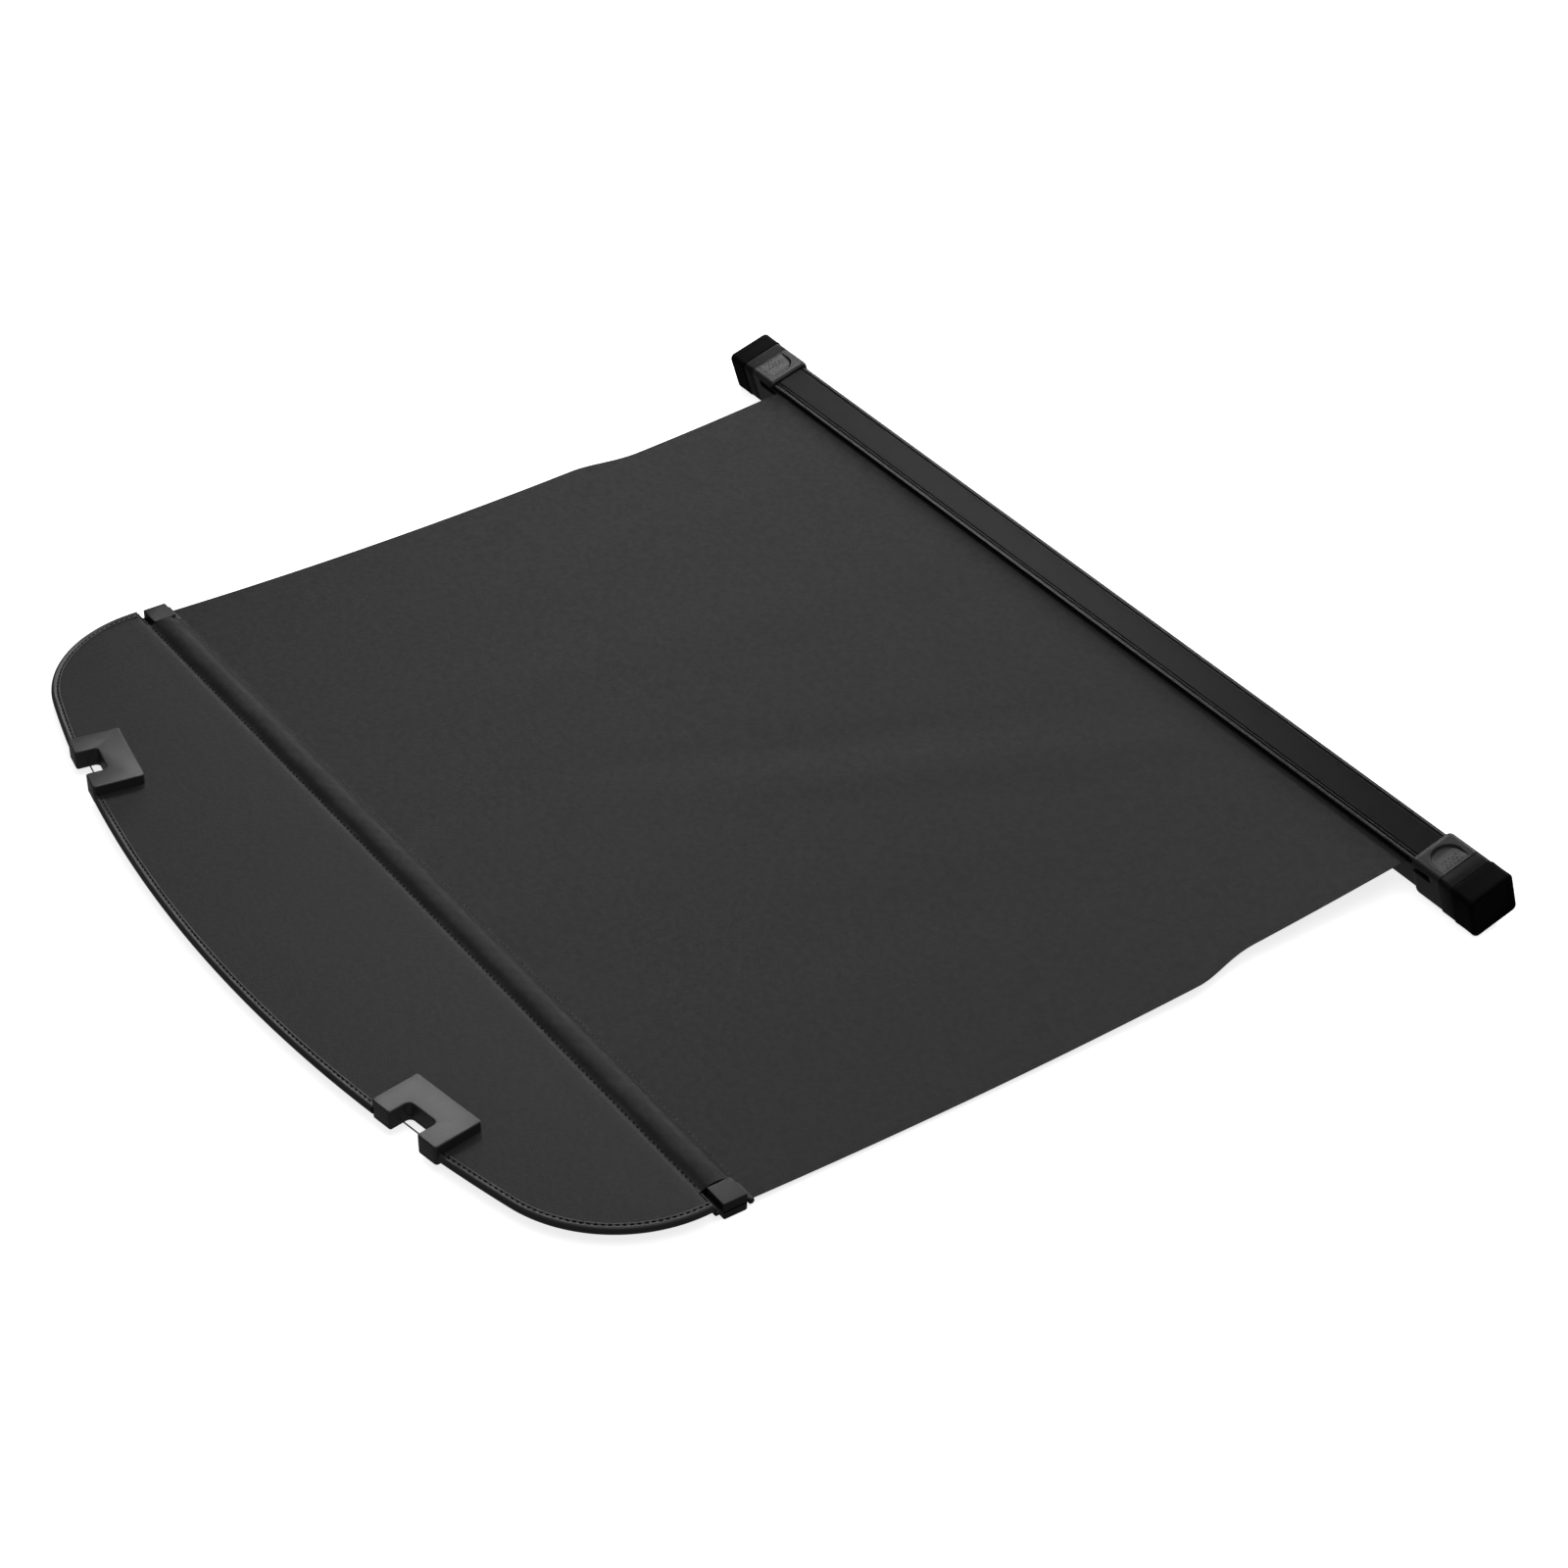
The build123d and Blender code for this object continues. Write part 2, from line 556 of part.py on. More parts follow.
def hook_upper():
    """The visible half: a shell above the flap and a solid nose outside the flap's edge."""
    upper = hook_blank() & block((-60, 60), (-40, 40), (SKIN_BASE, 40))
    half = HOOK_W / 2
    upper -= block((-half - 1, half + 1), (POCKET_Y - 0.1, half), (0, SKIN_TOP))
    inside = (POCKET_Y + HOOK_WALL, HOOK_D / 2 - HOOK_WALL)
    upper -= block((-half + HOOK_WALL, half - HOOK_WALL), inside, (0, HOOK_TOP - HOOK_WALL))
    for side in (1, -1):
        upper += pillar(4, side * HOOK_SCREW_X, HOOK_SCREW_Y, SKIN_TOP, HOOK_TOP - HOOK_WALL + 0.5)
        upper -= pillar(1.5, side * HOOK_SCREW_X, HOOK_SCREW_Y, 0, HOOK_TOP - HOOK_WALL)
    return upper - hook_wire(WIRE_R, WIRE_HALF)


def hook_lower():
    """The clamping half under the flap, with sunk screw heads."""
    lower = hook_blank() & block((-60, 60), (-40, 40), (0, SKIN_BASE))
    for side in (1, -1):
        lower -= pillar(1.8, side * HOOK_SCREW_X, HOOK_SCREW_Y, 0, 40)
        lower -= pillar(3.6, side * HOOK_SCREW_X, HOOK_SCREW_Y, 0, HOOK_BASE + 2.2)
    return lower - hook_wire(WIRE_R, WIRE_HALF)


def hook_screws():
    screws = []
    for side in (1, -1):
        x = side * HOOK_SCREW_X
        screw = pillar(1.48, x, HOOK_SCREW_Y, HOOK_BASE + 2.2, HOOK_TOP - HOOK_WALL - 0.5)
        screw += pillar(3.4, x, HOOK_SCREW_Y, HOOK_BASE + 0.3, HOOK_BASE + 2.2)
        screws += at_hooks(screw)
    return Compound(children=screws)


def flap_parts():
    save("flap_board", flap_board())
    save("flap_top_skin", flap_skin(SKIN_TOP - SKIN_T))
    save("flap_bottom_skin", flap_skin(SKIN_BASE))
    save("flap_piping", flap_piping())
    both_sides("hook_bracket", at_hooks(hook_upper())[0])
    both_sides("hook_clamp", at_hooks(hook_lower())[0])
    both_sides("hook_wire", at_hooks(hook_wire(WIRE_R - 0.02, WIRE_HALF))[0])
    save("hook_screws", hook_screws())


cassette_parts()
roller_parts()
end_parts()
bar_parts()
flap_parts()

slot_y, slot_z = case_point(-CASE_W / 2, (SLOT_LOW + SLOT_HIGH) / 2)
rise = slot_z - SHEET_BAR_Z
run = slot_y - (BAR_Y + POCKET_HALF)
print("cassette middle", CASE_Y, CASE_Z)
print("roller axis", case_point(0, ROLLER_Z))
print("pull direction", degrees(atan2(rise, run)), "slot", slot_y, slot_z, "bar", BAR_Y)
print("fold line", FOLD_Y, FOLD_Z, "hook", HOOK_X, HOOK_Y)
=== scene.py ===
import json
import math

import bmesh
import bpy
from mathutils import Matrix, Vector


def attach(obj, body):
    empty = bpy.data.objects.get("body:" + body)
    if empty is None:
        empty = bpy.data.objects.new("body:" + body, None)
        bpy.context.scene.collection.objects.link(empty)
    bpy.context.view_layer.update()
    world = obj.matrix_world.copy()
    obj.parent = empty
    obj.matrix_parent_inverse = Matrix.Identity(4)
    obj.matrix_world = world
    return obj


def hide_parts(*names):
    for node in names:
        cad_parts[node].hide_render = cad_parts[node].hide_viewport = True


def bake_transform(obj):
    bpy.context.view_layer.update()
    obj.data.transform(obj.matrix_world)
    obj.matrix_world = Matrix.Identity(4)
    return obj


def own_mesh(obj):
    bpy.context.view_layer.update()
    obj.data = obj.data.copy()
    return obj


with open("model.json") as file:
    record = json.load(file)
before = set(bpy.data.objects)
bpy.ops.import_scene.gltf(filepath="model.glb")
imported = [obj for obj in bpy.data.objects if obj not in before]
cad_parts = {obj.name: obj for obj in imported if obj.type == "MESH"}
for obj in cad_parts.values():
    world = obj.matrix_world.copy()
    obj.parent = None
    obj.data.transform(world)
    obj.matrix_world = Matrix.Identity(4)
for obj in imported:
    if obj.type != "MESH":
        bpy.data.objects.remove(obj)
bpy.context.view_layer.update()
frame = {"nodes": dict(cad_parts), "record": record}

# Lengths below are millimetres in the row frame, as in the CAD source; MM turns them into metres.
MM = 0.001
SMOOTH_ANGLE = 38.0

# Cassette, in its own axes: Y to the rear, Z up, from the middle of its section
CASE_Y = 421.95
CASE_Z = 24.8
CASE_TILT = math.radians(16.0)
CASE_W = 37.8
CASE_H = 34.8
CASE_WALL = 1.4
CASE_HALF = 484.0
CASE_CORNER = 3.0
SLOT_LOW = 9.3
SLOT_HIGH = 15.0
STRIP_FRONT = -12.4
STRIP_BACK = 13.2
STRIP_Z = 16.8
ROLLER_Z = -1.0
TUBE_R = 8.5
CLOTH_T = 0.6
ROLL_TURNS = 1.45
ROLL_GAIN = 0.351           # how far the wound cloth climbs in one turn
ROLL_CLOTH_T = 0.42

# Push-in ends
SLEEVE_W = 43.8
SLEEVE_H = 41.2
SLEEVE_IN = 460.0
BAND_IN = 491.0
BLOCK_IN = 501.6            # the end block is solid from here to its spring cup
BOOT_IN = 505.6
CUP_OUT = 519.1
CUP_W = 18.0
CUP_BORE = 13.0
CUP_DEEP = 517.1
BAND_W = 44.6
BAND_H = 40.4
BOOT_W = 46.0
BOOT_H = 40.8
BOOT_CORNER = 5.0
BOOT_RIM_R = 2.2
BOOT_END_R = 3.6
HALF = 530.0
BORE_W = 38.8
BORE_H = 35.8
SLEEVE_FLARE = 1.8          # how far the rounded mouth reaches in past SLEEVE_IN
SLEEVE_LEAD = 4.5           # over what length the mouth is rounded
SLEEVE_ROUND = 2.1          # how much lower its rim is
SLEEVE_CORNER = 4.5
SLEEVE_LOW_CORNER = 7.0
BORE_CORNER = 3.0
RECESS_R = 14.5
RECESS_EDGE = 490.5
RECESS_LENGTH = 26.5
RECESS_DEPTH = 2.4
RECESS_RISE = 0.35
DOT_COUNTS = (5, 4, 5)
DOT_R = 0.62
DOT_H = 0.5
MOUTH_OUT = 480.0           # the opening in the sleeve's front wall ends here
MOUTH_LOW = 7.6
MOUTH_HIGH = 16.0
MOUTH_CORNER = 1.6

# Sheet and bar
SLOT_Y = 400.43
SLOT_Z = 31.27
SHEET_MOUTH_HALF = 450.5
STEP_NEAR = 178.0
STEP_FAR = 248.0
SHEET_STEP_HALF = 452.8
SHEET_WIDE_HALF = 465.2
SHEET_WIDENING = 2.5        # what each half gains from the step to the bar, over WIDE_RUN
WIDE_RUN = 432.0
SHEET_SEAM = 16.0           # from the bar's middle to where the sheet is sewn on
CREASE_END_Y = -242.0
BAR_Y = -258.05
BAR_HALF = 447.2
BAR_AXIS_Z = 8.7
TUBE_HALF_W = 9.1
TUBE_HALF_H = 6.7
TUBE_CORNER = 5.1
FRONT_SEAM_Y = -13.0        # both seams of the sewn sleeve, from the bar's middle
SHEET_SEAM_Y = 14.0
SHEET_END_Z = 6.8
SHEET_SAG = 10.9
CAP_GAP = 0.5
CAP_OUT = 470.3
FOLD_Y = -274.85

# Flap
TIP_Y = -448.55
ARC_R = 1448.0
CORNER_R = 118.0
FLAP_HALF = 470.2
FLAP_Y = -276.4
CAP_CLEAR_Y = -276.3
SKIN_TOP = 16.6
SKIN_BASE = 12.4
SKIN_T = 0.9
SKIN_EDGE = 3.1
PIPE_SEAM = 5.8
PIPE_MIDDLE_Z = 14.5

# Hook brackets, in their own axes: X along the flap's edge, Y inwards
HOOK_X = 270.5
HOOK_Y = -400.05
HOOK_TURN = math.radians(9.2)
HOOK_W = 76.0
HOOK_D = 44.5
HOOK_TOP = 26.0
HOOK_BASE = 8.0
NOTCH_W = 32.4
NOTCH_D = 19.4
POCKET_Y = -0.5
POCKET_HALF = 33.0
WIRE_Y = -11.5
WIRE_R = 0.6
WIRE_HALF = 23.5
HOOK_SCREW_X = 27.0
HOOK_SCREW_Y = 11.0

STITCH_PITCH = 5.5
STITCH_LENGTH = 3.6
STITCH_R = 0.42

# Camera and lights, in metres, watts and degrees
CAMERA_PLACE = (2.12766, -1.33699, 1.81867)
CAMERA_TURN = 55.94
CAMERA_RISE = 35.94
CAMERA_LENS = 84.75
WORLD_STRENGTH = 0.13
SOFTBOXES = (
    # name, place, target, size, power
    ("rear", (-0.6, 3.0, 2.4), (0.1, 0.2, 0), (2.8, 0.9), 60),
    ("low", (-1.9, 1.7, 0.6), (0, -0.25, 0), (2.2, 0.4), 11),
    ("left", (-2.15, 0.8, 2.4), (0, -0.1, 0), (0.75, 0.8), 20),
    ("top", (0.9, -0.4, 3.0), (0, 0, 0), (2.6, 2.6), 29),
)
FLOOR_SIZE = 14.0
FLOOR_Z = -0.0004

scene = bpy.context.scene


# ---------- camera, light and floor ----------
def make_camera():
    azimuth, elevation = math.radians(CAMERA_TURN), math.radians(CAMERA_RISE)
    ca, sa = math.cos(azimuth), math.sin(azimuth)
    ce, se = math.cos(elevation), math.sin(elevation)
    right = Vector((ca, sa, 0))
    back = Vector((sa * ce, -ca * ce, se))
    up = back.cross(right)
    data = bpy.data.cameras.new("camera")
    data.sensor_width = 36.0
    data.lens = CAMERA_LENS
    data.clip_start, data.clip_end = 0.05, 60
    camera = bpy.data.objects.new("camera", data)
    turn = Matrix((right, up, back)).transposed().to_4x4()
    camera.matrix_world = Matrix.Translation(CAMERA_PLACE) @ turn
    scene.collection.objects.link(camera)
    scene.camera = camera


def softbox(name, place, target, size, power):
    data = bpy.data.lights.new(name, "AREA")
    data.shape = "RECTANGLE"
    data.size, data.size_y = size
    data.energy = power
    light = bpy.data.objects.new(name, data)
    light.location = place
    light.rotation_mode = "QUATERNION"
    light.rotation_quaternion = (Vector(target) - Vector(place)).to_track_quat("-Z", "Y")
    scene.collection.objects.link(light)


def make_light():
    world = bpy.data.worlds.new("studio")
    world.use_nodes = True
    background = world.node_tree.nodes["Background"]
    background.inputs["Color"].default_value = (1, 1, 1, 1)
    background.inputs["Strength"].default_value = WORLD_STRENGTH
    scene.world = world
    for row in SOFTBOXES:
        softbox(*row)
    scene.view_settings.view_transform = "Standard"
    scene.view_settings.look = "None"


# ---------- materials ----------
def node(tree, kind, **values):
    made = tree.nodes.new(kind)
    for key, value in values.items():
        if key in made.inputs:
            made.inputs[key].default_value = value
        else:
            setattr(made, key, value)
    return made


def coordinates(tree, stretch=(1, 1, 1)):
    source = node(tree, "ShaderNodeTexCoord")
    mapping = node(tree, "ShaderNodeMapping", Scale=stretch)
    tree.links.new(source.outputs["Object"], mapping.inputs["Vector"])
    return mapping.outputs["Vector"]


def spread(tree, value, low, high, start=0.3, end=0.7):
    """Maps a texture's value to a range."""
    made = node(tree, "ShaderNodeMapRange")
    for key, number in (("From Min", start), ("From Max", end), ("To Min", low), ("To Max", high)):
        made.inputs[key].default_value = number
    tree.links.new(value, made.inputs["Value"])
    return made.outputs["Result"]


def surface(name, colour, rough, metallic=0.0, specular=0.5, vary=0.12, patch=9.0, stretch=(1, 1, 1),
            grain=(), rough_vary=0.05, glow=0.0):
    """A procedural finish. grain is a list of (kind, scale, height in mm)."""
    made = bpy.data.materials.new(name)
    made.use_nodes = True
    tree = made.node_tree
    shader = tree.nodes["Principled BSDF"]
    shader.inputs["Metallic"].default_value = metallic
    shader.inputs["Specular IOR Level"].default_value = specular
    shader.inputs["Emission Color"].default_value = (1, 1, 1, 1)
    shader.inputs["Emission Strength"].default_value = glow
    where = coordinates(tree, stretch)
    clouds = node(tree, "ShaderNodeTexNoise", Scale=patch, Detail=4.0, Roughness=0.55)
    tree.links.new(where, clouds.inputs["Vector"])
    shade = spread(tree, clouds.outputs["Fac"], 1 - vary, 1 + vary)
    tint = node(tree, "ShaderNodeVectorMath", operation="SCALE")
    tint.inputs[0].default_value = colour
    tree.links.new(shade, tint.inputs["Scale"])
    tree.links.new(tint.outputs["Vector"], shader.inputs["Base Color"])
    speckle = node(tree, "ShaderNodeTexNoise", Scale=patch * 60, Detail=2.0)
    tree.links.new(where, speckle.inputs["Vector"])
    gloss = spread(tree, speckle.outputs["Fac"], rough - rough_vary, rough + rough_vary)
    tree.links.new(gloss, shader.inputs["Roughness"])
    normal = None
    for kind, scale, height in grain:
        if kind == "cells":
            texture = node(tree, "ShaderNodeTexVoronoi", Scale=scale, Randomness=1.0)
            texture.feature = "SMOOTH_F1"
            texture.inputs["Smoothness"].default_value = 0.35
            value = texture.outputs["Distance"]
        else:
            texture = node(tree, "ShaderNodeTexNoise", Scale=scale, Detail=2.0)
            value = texture.outputs["Fac"]
        tree.links.new(where, texture.inputs["Vector"])
        bump = node(tree, "ShaderNodeBump", Strength=1.0, Distance=height * MM)
        tree.links.new(value, bump.inputs["Height"])
        if normal is not None:
            tree.links.new(normal, bump.inputs["Normal"])
        normal = bump.outputs["Normal"]
    if normal is not None:
        tree.links.new(normal, shader.inputs["Normal"])
    return made


def grained(scale, height):
    return [("noise", scale, height)]


LEATHER = [("cells", 1150.0, 0.09), ("noise", 420.0, 0.03), ("noise", 70.0, 0.06)]
PEBBLE = [("noise", 1700.0, 0.10), ("cells", 900.0, 0.05)]
FINISH = {
    "housing_aluminium": surface(
        "housing_black", (0.006, 0.006, 0.0062), 0.3, specular=0.32, grain=grained(900.0, 0.01)
    ),
    "bare_aluminium": surface(
        "mill_aluminium", (0.55, 0.55, 0.57), 0.32, 1.0, stretch=(0.04, 1, 1), grain=grained(3000.0, 0.01)
    ),
    "strip_black": surface(
        "strip_black", (0.0025, 0.0025, 0.0027), 0.36, specular=0.095, grain=grained(2600.0, 0.05)
    ),
    "guide_black": surface("guide_black", (0.008, 0.008, 0.008), 0.55, grain=grained(2600.0, 0.03)),
    "grip_plastic": surface(
        "grip_plastic", (0.012, 0.012, 0.0123), 0.38, specular=0.38, grain=grained(2200.0, 0.03)
    ),
    "band_plastic": surface(
        "band_plastic", (0.005, 0.005, 0.0052), 0.45, specular=0.12, grain=grained(2200.0, 0.03)
    ),
    "rubber_black": surface(
        "boot_rubber", (0.0022, 0.0022, 0.0022), 0.6, specular=0.04, grain=grained(900.0, 0.08)
    ),
    "inner_plastic": surface("inner_plastic", (0.06, 0.06, 0.06), 0.5, grain=grained(1500.0, 0.03)),
    "bush_acetal": surface("bush_acetal", (0.7, 0.7, 0.68), 0.4, grain=grained(1500.0, 0.02)),
    "spring_steel": surface("spring_steel", (0.16, 0.16, 0.165), 0.38, 0.9, grain=grained(2500.0, 0.01)),
    "screw_steel": surface("screw_steel", (0.42, 0.42, 0.44), 0.33, 1.0, grain=grained(2500.0, 0.01)),
    "cover_vinyl": surface(
        "cover_vinyl", (0.009, 0.009, 0.0093), 0.54, specular=0.2, vary=0.05, patch=3.0, grain=LEATHER
    ),
    "flap_vinyl": surface(
        "flap_vinyl", (0.018, 0.018, 0.0184), 0.56, specular=0.22, vary=0.05, patch=4.0, grain=LEATHER
    ),
    "piping_vinyl": surface("piping_vinyl", (0.02, 0.02, 0.0205), 0.4, vary=0.08, patch=30.0, grain=LEATHER),
    "board_fibre": surface(
        "board_fibre", (0.13, 0.09, 0.055), 0.8, vary=0.2, patch=60.0, grain=grained(900.0, 0.2)
    ),
    "hook_plastic": surface(
        "hook_plastic", (0.027, 0.027, 0.0278), 0.33, vary=0.08, patch=40.0, grain=PEBBLE
    ),
    "cap_plastic": surface(
        "cap_plastic", (0.011, 0.011, 0.0113), 0.4, specular=0.34, vary=0.08, patch=40.0, grain=PEBBLE[:1]
    ),
}
THREAD = surface("thread", (0.004, 0.004, 0.004), 0.7, specular=0.2, grain=grained(5000.0, 0.1))
WIRE = surface("dark_wire", (0.03, 0.03, 0.03), 0.4, grain=grained(2500.0, 0.01))


# ---------- mesh helpers ----------
def closed_mesh(name, points, faces, weld):
    """A mesh with points closer than weld joined, and its faces turned outwards."""
    mesh = bpy.data.meshes.new(name)
    mesh.from_pydata(points, [], faces)
    shell = bmesh.new()
    shell.from_mesh(mesh)
    bmesh.ops.remove_doubles(shell, verts=shell.verts, dist=weld)
    bmesh.ops.recalc_face_normals(shell, faces=shell.faces)
    shell.to_mesh(mesh)
    shell.free()
    return mesh


def shade_smooth(mesh, angle):
    mesh.polygons.foreach_set("use_smooth", [True] * len(mesh.polygons))
    mesh.set_sharp_from_angle(angle=math.radians(angle))


def piece(name, shape, finish, body, nodes=(), angle=SMOOTH_ANGLE):
    """A closed mesh from (points, faces) in millimetres, riding on a body."""
    points, faces = shape
    mesh = closed_mesh(name, [(x * MM, y * MM, z * MM) for x, y, z in points], faces, 2e-6)
    shade_smooth(mesh, angle)
    mesh.materials.append(FINISH[finish] if isinstance(finish, str) else finish)
    made = bpy.data.objects.new(name, mesh)
    scene.collection.objects.link(made)
    if body:
        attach(made, body)
    if nodes:
        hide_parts(*nodes)
    return made


def loft(rings, closed=False):
    """Joins rings of equal length into a skin, with a flat face at each end unless it closes on itself."""
    size, count = len(rings[0]), len(rings)
    points = [p for ring in rings for p in ring]
    faces = []
    for i in range(count if closed else count - 1):
        low, high = i * size, ((i + 1) % count) * size
        faces += [(low + j, low + (j + 1) % size, high + (j + 1) % size, high + j) for j in range(size)]
    if not closed:
        faces.append(tuple(range(size))[::-1])
        faces.append(tuple((count - 1) * size + j for j in range(size)))
    return points, faces


def ring_points(radius, count):
    """Points round a circle, as (along, across) offsets."""
    turns = [math.tau * k / count for k in range(count)]
    return [(radius * math.cos(t), radius * math.sin(t)) for t in turns]


def plate(top, bottom):
    """A closed thin plate from two grids of points, top and bottom, row by row."""
    rows, size = len(top), len(top[0])
    points = [p for row in top for p in row] + [p for row in bottom for p in row]
    shift = rows * size
    faces = []
    for i in range(rows - 1):
        for j in range(size - 1):
            a, b = i * size + j, (i + 1) * size + j
            faces.append((a, a + 1, b + 1, b))
            faces.append((shift + a, shift + b, shift + b + 1, shift + a + 1))
    rim = list(range(size)) + [i * size + size - 1 for i in range(1, rows)]
    rim += [(rows - 1) * size + j for j in range(size - 2, -1, -1)]
    rim += [i * size for i in range(rows - 2, 0, -1)]
    faces += [(rim[k], rim[k - 1], shift + rim[k - 1], shift + rim[k]) for k in range(len(rim))]
    return points, faces


def joined(shapes):
    points, faces = [], []
    for more_points, more_faces in shapes:
        base = len(points)
        points += more_points
        faces += [tuple(base + k for k in face) for face in more_faces]
    return points, faces


def mirrored(shape):
    points, faces = shape
    return [(-x, y, z) for x, y, z in points], [face[::-1] for face in faces]


def both_sides(name, shape, finish, bodies, node_name, angle=SMOOTH_ANGLE):
    """The right-hand piece and its mirror image. bodies is (left, right)."""
    for side, one, body in (("left", mirrored(shape), bodies[0]), ("right", shape, bodies[1])):
        piece(f"{name}_{side}", one, finish, body, [f"{node_name}_{side}"], angle)


def arc(y, z, radius, start, end, steps):
    """Points on an arc in a plane, between two angles in degrees."""
    turns = [math.radians(start + (end - start) * k / steps) for k in range(steps + 1)]
    return [(y + radius * math.cos(t), z + radius * math.sin(t)) for t in turns]


def rounded(width, height, radius, steps=8):
    """A rounded rectangle as 2-D points, counter-clockwise from its right side."""
    w, h = width / 2 - radius, height / 2 - radius
    outline = []
    for cx, cy, start in ((w, h, 0), (-w, h, 90), (-w, -h, 180), (w, -h, 270)):
        outline += arc(cx, cy, radius, start, start + 90, steps)
    return outline


def turned_corners(corners):
    """A polygon with rounded corners. corners is a list of (x, y, radius, steps)."""
    outline = []
    count = len(corners)
    for k, (x, y, radius, steps) in enumerate(corners):
        here = Vector((x, y))
        before = (Vector(corners[k - 1][:2]) - here).normalized()
        after = (Vector(corners[(k + 1) % count][:2]) - here).normalized()
        half = before.angle(after) / 2
        centre = here + (before + after).normalized() * (radius / math.sin(half))
        first = here + before * (radius / math.tan(half)) - centre
        last = here + after * (radius / math.tan(half)) - centre
        sweep = first.angle_signed(last)
        for s in range(steps + 1):
            outline.append(tuple(centre + Matrix.Rotation(-sweep * s / steps, 2) @ first))
    return outline


def seated(x, y, z):
    """A point given in the cassette's own axes, in the row frame."""
    c, s = math.cos(CASE_TILT), math.sin(CASE_TILT)
    return (x, CASE_Y + y * c - z * s, CASE_Z + y * s + z * c)


def smooth(t):
    t = min(1.0, max(0.0, t))
    return t * t * (3 - 2 * t)


def closed_spline(points, count):
    """A closed Catmull-Rom curve through 2-D points, sampled evenly by length."""
    pts = [Vector(p) for p in points]
    n = len(pts)
    dense = []
    for k in range(n):
        p0, p1, p2, p3 = pts[k - 1], pts[k], pts[(k + 1) % n], pts[(k + 2) % n]
        for s in range(24):
            t = s / 24
            square = 2 * p0 - 5 * p1 + 4 * p2 - p3
            cube = 3 * p1 - p0 - 3 * p2 + p3
            dense.append(0.5 * (2 * p1 + (p2 - p0) * t + square * t**2 + cube * t**3))
    dense.append(pts[0])
    walked = [0.0]
    for a, b in zip(dense, dense[1:]):
        walked.append(walked[-1] + (b - a).length)
    out, k = [], 0
    for s in range(count):
        want = walked[-1] * s / count
        while k < len(walked) - 2 and walked[k + 1] < want:
            k += 1
        share = (want - walked[k]) / max(1e-9, walked[k + 1] - walked[k])
        out.append(tuple(dense[k].lerp(dense[k + 1], share)))
    return out


# A stitch's sections: place along it, size and lift
STITCH_RINGS = (
    (-0.5, 0.35, -0.35), (-0.32, 0.9, 0.0), (0.0, 1.0, 0.12), (0.32, 0.9, 0.0), (0.5, 0.35, -0.35),
)


def stitch(middle, along, up, radius=STITCH_R):
    """One thread stitch: a thin lozenge that dips into the cloth at both ends."""
    along, up = Vector(along).normalized(), Vector(up).normalized()
    side = along.cross(up)
    rings = []
    for share, size, lift in STITCH_RINGS:
        centre = Vector(middle) + along * (STITCH_LENGTH * share) + up * lift
        rings.append([tuple(centre + side * a + up * b) for a, b in ring_points(radius * size, 6)])
    return loft(rings)


# ---------- cassette ----------
def case_profile():
    """The housing's open section: a rounded front lip, grooves beside the strip and a bead at the rear."""
    w, h, r = CASE_W / 2, CASE_H / 2, CASE_CORNER
    t = CASE_WALL
    outline = [(-w + t, SLOT_HIGH), (-w + 0.5, SLOT_HIGH)]
    outline += arc(-w + 1.2, h - 1.2, 1.2, 205, 90, 8) + [(-16.2, h)]
    outline += [(-15.9, h - 0.2), (-15.6, h - 1.0), (-15.0, h - 1.0), (-14.8, h - 0.3)]
    outline += arc(-13.8, h - 0.55, 0.75, 150, 30, 6)
    outline += [(STRIP_FRONT - 0.3, h - 0.5), (STRIP_FRONT, STRIP_Z), (STRIP_BACK, STRIP_Z)]
    outline += [(STRIP_BACK + 0.2, h - 0.9), (STRIP_BACK + 0.9, h - 0.9)]
    outline += arc(15.55, h - 1.2, 1.4, 165, 25, 10) + [(17.1, h - 1.0)]
    outline += arc(w - r, h - r, r, 38, 0, 6)
    outline += arc(w - r, -h + r, r, 0, -90, 6) + arc(-w + r, -h + r, r, -90, -180, 6)
    outline += [(-w, SLOT_LOW - 0.2), (-w + 0.2, SLOT_LOW), (-w + t, SLOT_LOW)]
    ri = r - t
    outline += arc(-w + r, -h + r, ri, -180, -90, 4) + arc(w - r, -h + r, ri, -90, 0, 4)
    outline += arc(w - r, h - r - 0.6, ri, 0, 90, 4) + [(-w + r, h - t - 0.6), (-w + t + 0.3, h - t - 0.9)]
    return outline


def along_x(outline, stations):
    return loft([[seated(x, y, z) for y, z in outline] for x in stations])


def make_cassette():
    stations = [-CASE_HALF + 2 * CASE_HALF * k / 40 for k in range(41)]
    housing = along_x(case_profile(), stations)
    piece("cassette_extrusion", housing, "housing_aluminium", "cassette", ["cassette_housing"])
    low, high = STRIP_Z + 0.02, STRIP_Z + 0.7
    front, back = STRIP_FRONT + 0.12, STRIP_BACK - 0.12
    r = 0.25
    strip = [(front, low), (back, low)] + arc(back - r, high - r, r, 0, 90, 4)
    strip += [(y, high + 0.12 * (1 - (y / 14) ** 2)) for y in (10, 5, 0, -5, -10)]
    strip += arc(front + r, high - r, r, 90, 180, 4)
    piece("top_strip", along_x(strip, stations), "strip_black", "cassette", ["cassette_top_strip"])


